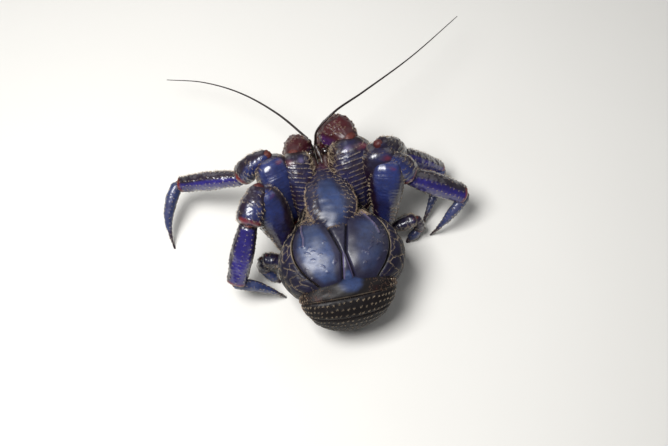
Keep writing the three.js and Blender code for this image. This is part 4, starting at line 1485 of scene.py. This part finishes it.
class CRAB_OT_legs(bpy.types.Operator):
    """Add the six walking legs, each a row of shell segments with their bristles"""

    bl_idname = "crab.legs"
    bl_label = "Walking legs"

    def execute(self, context):
        coats = {side: Coat(70 + i) for i, side in enumerate(("left", "right"))}
        for (pair, side), (hip, bow, turns) in LEGS.items():
            at = np.array(hip, float)
            for i, (kind, size) in enumerate(LEG_SIZES[pair].items()):
                last = i == len(turns) - 1
                slope = turns[i][1] if not last else -math.degrees(math.asin((at[2] + SINK) / size[0]))
                turn = turned(turns[i][0], slope, bow if last else 0)
                name = f"{pair}_{side}_{kind}"
                limb = segment(kind, size, at, turn)
                getattr(self, kind)(name, limb, size, coats[side])
                at = at + direction(turns[i][0], slope) * size[0]
        for side, coat in coats.items():
            coat.grow(f"bristles_legs_{side}", "leg")
        return {"FINISHED"}

    def dusk(self, name):
        """How much of its blue a leg shows: less on those the photo has in the dark."""
        return 0.45 if name.startswith(("leg_2_right", "leg_4")) else 1.0

    def merus(self, name, limb, size, coat):
        """The thick upper segment, glossy and blue on top with a painted highlight there, and dark down its
        sides, partly with painted shade.
        """
        rng = np.random.default_rng(len(name) + int(size[0]))
        face = limb.normal @ unit(np.array((-0.1, -0.45, 0.9)))
        dusk = self.dusk(name)
        # Blue of the top: the leg's own blue laid where it faces the light, so partly painted sheen; dusk
        # dims it on legs in shade, as painted shade.
        limb.upper = dusk * smooth(0.5, 0.98, face) * smooth(0.0, 0.15, limb.S)
        limb.blush = 0.5 * hump(limb.S, 0.9, 0.04) * hump(limb.T, 0.45, 0.06)
        waves = np.sin(limb.S * size[0] * 2.4 + 1.5 * np.sin(limb.T * 9))
        limb.height += 0.035 * waves * smooth(0.4, 0.8, face)
        # Painted highlight: a pale streak down the middle of the top.
        limb.pale = 0.3 * dusk * smooth(0.9, 1.0, face) * smooth(0.05, 0.3, limb.S)
        marks = []
        for edge, lean in ((0.30, 0.012), (0.70, -0.012), (0.2, 0.01), (0.8, -0.01)):
            for s in np.arange(0.1, 0.93, 3.0 / size[0]):
                marks.append(dash(s + rng.normal() * 0.006, edge + rng.normal() * 0.006, lean, 0.03, 0.012))
        for s in np.arange(0.1, 0.36, 0.055):
            if name.endswith("right_merus"):
                marks.append(dash(s, 0.40, 0.02, 0.055, 0.02))
        for _ in range(90):
            s = rng.uniform(0.08, 0.92)
            t = rng.choice((0.2, 0.8)) + rng.normal() * 0.09
            marks.append(dash(s, t, 0.01, 0.022, 0.014))
        self.shell(name, limb, marks, coat, 0.85)

    def carpus(self, name, limb, size, coat):
        """The short knee, with dashes all over."""
        rng = np.random.default_rng(len(name) + 5)
        face = limb.normal @ unit(np.array((0.0, -0.7, 0.6)))
        # Blue of the side turned to the light, dimmed by dusk on legs in shade, as painted shade.
        limb.upper = 0.75 * self.dusk(name) * smooth(0.5, 0.95, face)
        limb.blush = 0.7 * hump(limb.S, 0.88, 0.08) * smooth(0.2, 0.7, face)
        marks = []
        for s in np.arange(0.14, 0.9, 3.6 / size[0]):
            for t in np.arange(0.2, 0.82, 0.1):
                if rng.random() < 0.75:
                    marks.append(dash(s + rng.normal() * 0.02, t + rng.normal() * 0.015, 0.02, 0.028, 0.025))
        self.shell(name, limb, marks, coat, 0.9)

    def propodus(self, name, limb, size, coat):
        """The long shank: violet-blue towards the tail side, darker above, with rows of little tufts."""
        rng = np.random.default_rng(len(name) + 6)
        face = limb.normal @ unit(np.array((0.0, -0.8, 0.45)))
        limb.upper = np.maximum(0.95 * smooth(0.4, 0.95, face), 0.4 * smooth(0.2, 0.9, limb.normal[..., 1]))
        # Painted highlight: a pale streak where the shank faces the light.
        limb.pale = 0.3 * smooth(0.86, 1.0, face) * smooth(0.05, 0.3, limb.S)
        limb.blush = 0.75 * smooth(0.88, 0.96, limb.S) * smooth(-0.2, 0.5, face)
        self.knobs(name, limb, size, coat, "Leg end", rng, np.arange(0.02, 1, 0.105), 4.2, 0.55)

    def dactyl(self, name, limb, size, coat):
        """The curved foot: steel blue above, brown at its horny tip."""
        rng = np.random.default_rng(len(name) + 7)
        face = limb.normal @ unit(np.array((-0.3, -0.5, 0.8)))
        limb.upper = 1.1 * smooth(0.0, 0.6, face) * smooth(0.85, 0.6, limb.S)
        limb.blush = 0.5 * smooth(0.7, 0.9, limb.S)
        # Painted highlight: pale along the top of the foot where it faces the light.
        limb.pale = 0.35 * smooth(0.7, 0.95, face) * smooth(0.8, 0.5, limb.S)
        self.knobs(name, limb, size, coat, "Foot", rng, np.arange(0.06, 1, 0.16), 3.6, 0.4)

    def pincer(self, name, limb, size, coat):
        """The small pincer of the last pair."""
        self.dactyl(name, limb, size, coat)

    def knobs(self, name, limb, size, coat, finish, rng, rows, apart, high):
        """Rows of small knobs, each with its tuft."""
        s, t = [], []
        for k, row in enumerate(rows):
            for at in np.arange(0.08 + 0.5 * (k % 2) * apart / size[0], 0.93, apart / size[0]):
                s.append(at + rng.normal() * 0.008)
                t.append(row + rng.normal() * 0.01)
        s, t = np.array(s), np.array(t) % 1
        near = 1 - smooth(0, 1.1, distances(limb.base, limb.point(s, t)))
        limb.height += high * near
        limb.pale = np.maximum(limb.pale, 0.5 * near)
        self.close(name, limb, finish)
        tufts = 4
        t = np.repeat(t, tufts) + rng.normal(size=len(s) * tufts) * 0.006
        coat.add(limb, np.repeat(s, tufts), t, (1.0, 0.0), 0.55, 0.85, 0.1, 0.6)
        if name.endswith("propodus"):
            self.brush(limb, coat)
        self.fringe(limb, coat)

    def shell(self, name, limb, marks, coat, long):
        """A segment with ridges that carry bristles."""
        high, wide = ridge_sizes()
        limb.ridge(marks, high, wide)
        limb.pale = np.maximum(limb.pale, 0.4 * limb.near(marks, 0.6))
        self.close(name, limb, "Leg")
        coat.add(limb, *limb.places(marks, spacing()), (1.0, 0.0), 0.3, long, 0.1, 0.35)
        self.brush(limb, coat)
        self.fringe(limb, coat)

    def brush(self, limb, coat):
        """Longer bristles along the edge that faces forwards."""
        score = (limb.normal @ unit(np.array((0.0, 1.0, 0.25)))).mean(0)
        best = limb.t[int(np.argmax(score))]
        run = np.linspace(0.08, 0.95, 12)
        lines = [[(s, best + offset) for s in run] for offset in (-0.06, 0.0, 0.06)]
        coat.add(limb, *limb.places(lines, spacing() * 1.1), (0.8, 0.0), 0.6, 1.6, 0.25, 0.8, 0.2, 0.6)

    def fringe(self, limb, coat):
        """Bristles round the segment's far end."""
        ring = [(0.95, t) for t in np.linspace(0, 0.999, 40)]
        coat.add(limb, *limb.places([ring], spacing() * 1.2), (1.0, 0.0), 0.4, 0.9, 0.5, 0.5)

    def close(self, name, limb, finish):
        """Makes the segment's piece."""
        gloss, varnish = (0.3, 0.7) if finish == "Foot" else (0.2, 1.0)
        striae = 0.5 if finish == "Leg" else 0.0
        material = plate_material(finish, gloss=gloss, coat=varnish, striae=striae)
        body(name + "_shell", [limb], material, "leg", name)


class CRAB_OT_claws(bpy.types.Operator):
    """Add the two claws, folded in front of the face, with knobs, teeth and bristles"""

    bl_idname = "crab.claws"
    bl_label = "Claws"

    def execute(self, context):
        coat = Coat(81)
        for side, claw in CLAWS.items():
            self.claw(side, claw, coat)
        coat.grow("bristles_claws", "claw")
        return {"FINISHED"}

    def claw(self, side, claw, coat):
        """One arm, from its thick upper segment to its fingers."""
        shoulder = np.array(claw["hip"], float)
        elbow = shoulder + direction(*claw["merus_turn"]) * (claw["merus"][0] - 3)
        wrist = elbow + direction(*claw["carpus_turn"]) * (claw["carpus"][0] - 2)
        name = f"claw_{side}_"
        merus = segment("merus", claw["merus"], shoulder, turned(*claw["merus_turn"]))
        self.merus(name + "merus", side, merus, coat)
        carpus = segment("carpus", claw["carpus"], elbow, turned(*claw["carpus_turn"]))
        self.knobbly(carpus, coat, 110 if side == "right" else 80, 90)
        carpus.upper = smooth(-0.5, 0.5, carpus.normal[..., 2])
        crest = hump(carpus.T, 0.76 if side == "right" else 0.24, 0.08) * hump(carpus.S, 0.5, 0.35)
        carpus.pale = np.maximum(carpus.pale, 0.8 * crest)
        self.make(name + "carpus", [carpus], "claw")
        hand = turned(*claw["chela_turn"], CLAW_ROLL)
        palm = segment("palm", claw["palm"], wrist, hand)
        self.knobbly(palm, coat, 190, 91)
        palm.upper = 0.9 * smooth(-0.3, 0.5, palm.normal[..., 2] + 0.4)
        fixed = self.finger(claw, 1, wrist, hand, coat)
        moving = self.finger(claw, -1, wrist, hand, coat)
        self.make(name + "palm", [palm, fixed], "claw")
        self.make(name + "finger", [moving], "claw")

    def finger(self, claw, way, wrist, hand, coat):
        """A finger, with blunt teeth along the side that closes."""
        _, wide, high, _ = claw["palm"]
        size = (claw["fingers"] + 6, wide * 0.46, high * 0.62, 0)
        offset = (way * wide * 0.25, claw["palm"][0] - 6, 0)
        made = segment("finger", size, wrist, hand, offset, way * wide * 0.12)
        inner = 0.75 if way > 0 else 0.25
        row = hump(made.T, inner, 0.05) * smooth(0.2, 0.3, made.S) * smooth(0.98, 0.9, made.S)
        made.height += 1.5 * row * np.abs(np.sin(made.S * 17))
        made.pale = 0.9 * np.maximum(row, smooth(0.93, 0.98, made.S))
        self.knobbly(made, coat, 70, 92 + way)
        made.upper = 0.9 * smooth(-0.2, 0.6, made.normal[..., 2] + 0.3)
        return made

    def knobbly(self, limb, coat, count, seed):
        """Scatters low knobs, each with a tuft on its far side."""
        rng = np.random.default_rng(seed)
        s, t = rng.uniform(0.08, 0.93, count), rng.uniform(0, 1, count)
        near = 1 - smooth(0, 1.5, distances(limb.base, limb.point(s, t)))
        limb.height += 0.75 * near
        limb.dark = np.maximum(limb.dark, 0.3 * near)
        tufts = 5
        s = np.repeat(s, tufts) + rng.normal(size=count * tufts) * 0.006
        t = np.repeat(t, tufts) + rng.normal(size=count * tufts) * 0.006
        coat.add(limb, s, t, (1.0, 0.0), 0.5, 0.95, 0.3, 0.6)

    def merus(self, name, side, limb, coat):
        """The great upper segment: slanting ridges of bristles on top, a long fringe on its inner edge."""
        rng = np.random.default_rng(95)
        way = 1 if side == "right" else -1
        inner = 0.5 + 0.2 * way
        face = limb.normal @ unit(np.array((0.0, -0.5, 0.85)))
        limb.upper = 0.45 * smooth(0.2, 0.9, face)
        limb.blush = 0.55 * hump(limb.S, 0.9, 0.05) * hump(limb.T, 0.5 - 0.08 * way, 0.1)
        # Painted highlight: a pale spot on top near the far end.
        limb.pale = 0.7 * hump(limb.S, 0.9, 0.04) * hump(limb.T, 0.5 + 0.03 * way, 0.04)
        marks = []
        for s in np.arange(0.0, 0.82, 0.058):
            for k, (low, high) in enumerate(((0.14, 0.05), (0.03, -0.07), (-0.09, -0.18), (-0.2, -0.28))):
                a = 0.5 + way * low + rng.normal() * 0.008
                b = 0.5 + way * high + rng.normal() * 0.008
                rise = 0.042 * k
                marks.append([(s + rise, a), (s + rise + 0.03, (a + b) / 2), (s + rise + 0.045, b)])
        high, wide = ridge_sizes()
        limb.ridge(marks, high * 0.8, wide)
        stray = 420
        t = inner + rng.normal(size=(stray, 2))[:, 1] * 0.06
        s = rng.uniform(0.04, 0.96, stray)
        body(name + "_shell", [limb], plate_material("Claw arm", gloss=0.25, coat=0.8), "leg", name)
        coat.add(limb, *limb.places(marks, spacing() * 0.7), (1.0, 0.0), 0.25, 0.8, 0.0, 0.35)
        coat.add(limb, s, t % 1, (0.9, 0.4 * way), 0.5, 2.0, 0.15, 0.9, 0.3, 0.6)

    def make(self, name, surfaces, slot):
        """A claw's piece."""
        material = plate_material("Claw", gloss=0.36, coat=0.5, haze=0.32, shine=0.3)
        body(name + "_shell", surfaces, material, slot, name)


# A small inner feeler, from its root to its tip, on the right side
ANTENNULE = ((2.4, 104, 50), (2.4, 118, 52), (2.2, 132, 56), (2.2, 142, 48))


class CRAB_OT_head(bpy.types.Operator):
    """Add the eyes, the two pairs of feelers and the bristles round the mouth"""

    bl_idname = "crab.head"
    bl_label = "Eyes and feelers"

    def execute(self, context):
        horn = plate_material("Feeler", gloss=0.32, coat=0.3)
        coat = Coat(97)
        for side, sign in (("left", -1), ("right", 1)):
            self.eye(side, sign)
            feeler = FEELERS[side]
            base, length = rod(feeler["base"], (3.8, 2.4), 0.6, 24)
            base.height += 0.25 * np.cos(base.S * length * 0.55) + 0.1 * wobble(base.base, 3, 4)
            base.upper = smooth(0.2, 0.8, base.normal[..., 2])
            body(f"antenna_base_{side}_shell", [base], horn, "feeler", f"antenna_base_{side}")
            whip, length = rod(feeler["whip"], (1.1, 0.33), 0.4, 10)
            whip.height += 0.06 * np.sin(whip.S * length * TAU / 1.6)
            body(f"flagellum_{side}_whip", [whip], horn, "feeler", f"flagellum_{side}")
            inner = [(sign * x, y, z) for x, y, z in ANTENNULE]
            small, length = rod(inner, (1.7, 1.0), 0.5, 16)
            small.height += 0.08 * np.sin(small.S * length * TAU / 2.2)
            body(f"antennule_{side}_stalk", [small], horn, "feeler", f"antennule_{side}")
            jaw = rod(jaw_line(sign), (4.2, 2.8), 1.0)[0]
            rng = np.random.default_rng(98)
            for surface, count, end, *look in (
                (base, 160, 0.05, 0.5, 1.1, 0.4, 0.5),
                (small, 60, 0.05, 0.6, 0.6, 0.4, 0.5),
                (jaw, 420, 0.02, 0.6, 1.3, 0.6, 0.6),
            ):
                s = rng.uniform(end, 1 - end, count)
                coat.add(surface, s, rng.uniform(0, 1, count), (1.0, 0.0), *look)
        coat.grow("bristles_face", "feeler")
        return {"FINISHED"}

    def eye(self, side, sign):
        """A dark glossy eye on the end of its stalk."""
        globe = ball(np.array((sign * 6.6, 119, 67.4)), 3.4, 48, 64, 0.01)
        c = bpy.context.scene.crab_colours
        if "Eye" not in bpy.data.materials:
            sh = Shader("Eye")
            inputs = {"Vector": sh.place, "Scale": 5200.0}
            facets = sh.node("ShaderNodeTexVoronoi", inputs).outputs["Distance"]
            tint = sh.mix(sh.spread(sh.noise(500, 2), 0.3, 0.7), tuple(c.eye), tuple(c.edge_brown))
            inputs = {
                "Base Color": tint,
                "Roughness": sh.spread(facets, 0.0, 0.6, 0.06, 0.14),
                "Normal": sh.bump(facets, 0.12, 0.00005),
                "Coat Weight": 1.0,
                "Coat Roughness": 0.03,
            }
            sh.finish(inputs)
        body(f"eye_{side}_ball", [globe], bpy.data.materials["Eye"], "eye", f"eye_{side}")


class CRAB_PT_panel(bpy.types.Panel):
    """The crab's parts, in the order they are made"""

    bl_idname = "CRAB_PT_panel"
    bl_label = "Coconut crab"
    bl_space_type = "VIEW_3D"
    bl_region_type = "UI"
    bl_category = "Coconut crab"

    def draw(self, context):
        """One button for each part."""
        for operator in OPERATORS:
            self.layout.operator(operator.bl_idname)


OPERATORS = (
    CRAB_OT_stage, CRAB_OT_carapace, CRAB_OT_shield, CRAB_OT_abdomen,
    CRAB_OT_skin, CRAB_OT_legs, CRAB_OT_claws, CRAB_OT_head,
)
GROUPS = {
    "crab_shell": CrabShell,
    "crab_bristles": CrabBristles,
    "crab_colours": CrabColours,
    "crab_stage": CrabStage,
}


def register():
    """Add the settings, the operators and the panel."""
    for group in GROUPS.values():
        bpy.utils.register_class(group)
    for name, group in GROUPS.items():
        setattr(bpy.types.Scene, name, bpy.props.PointerProperty(type=group))
    for made in (*OPERATORS, CRAB_PT_panel):
        bpy.utils.register_class(made)


def unregister():
    """Take them away again."""
    for made in (CRAB_PT_panel, *reversed(OPERATORS)):
        bpy.utils.unregister_class(made)
    for name in GROUPS:
        delattr(bpy.types.Scene, name)
    for group in reversed(GROUPS.values()):
        bpy.utils.unregister_class(group)


def main():
    """Build the whole crab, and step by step."""
    register()
    bpy.ops.crab.stage()
    bpy.ops.crab.carapace()
    bpy.ops.crab.shield()
    bpy.ops.crab.abdomen()
    bpy.ops.crab.skin()
    bpy.ops.crab.legs()
    bpy.ops.crab.claws()
    bpy.ops.crab.head()


if __name__ == "__main__":
    main()
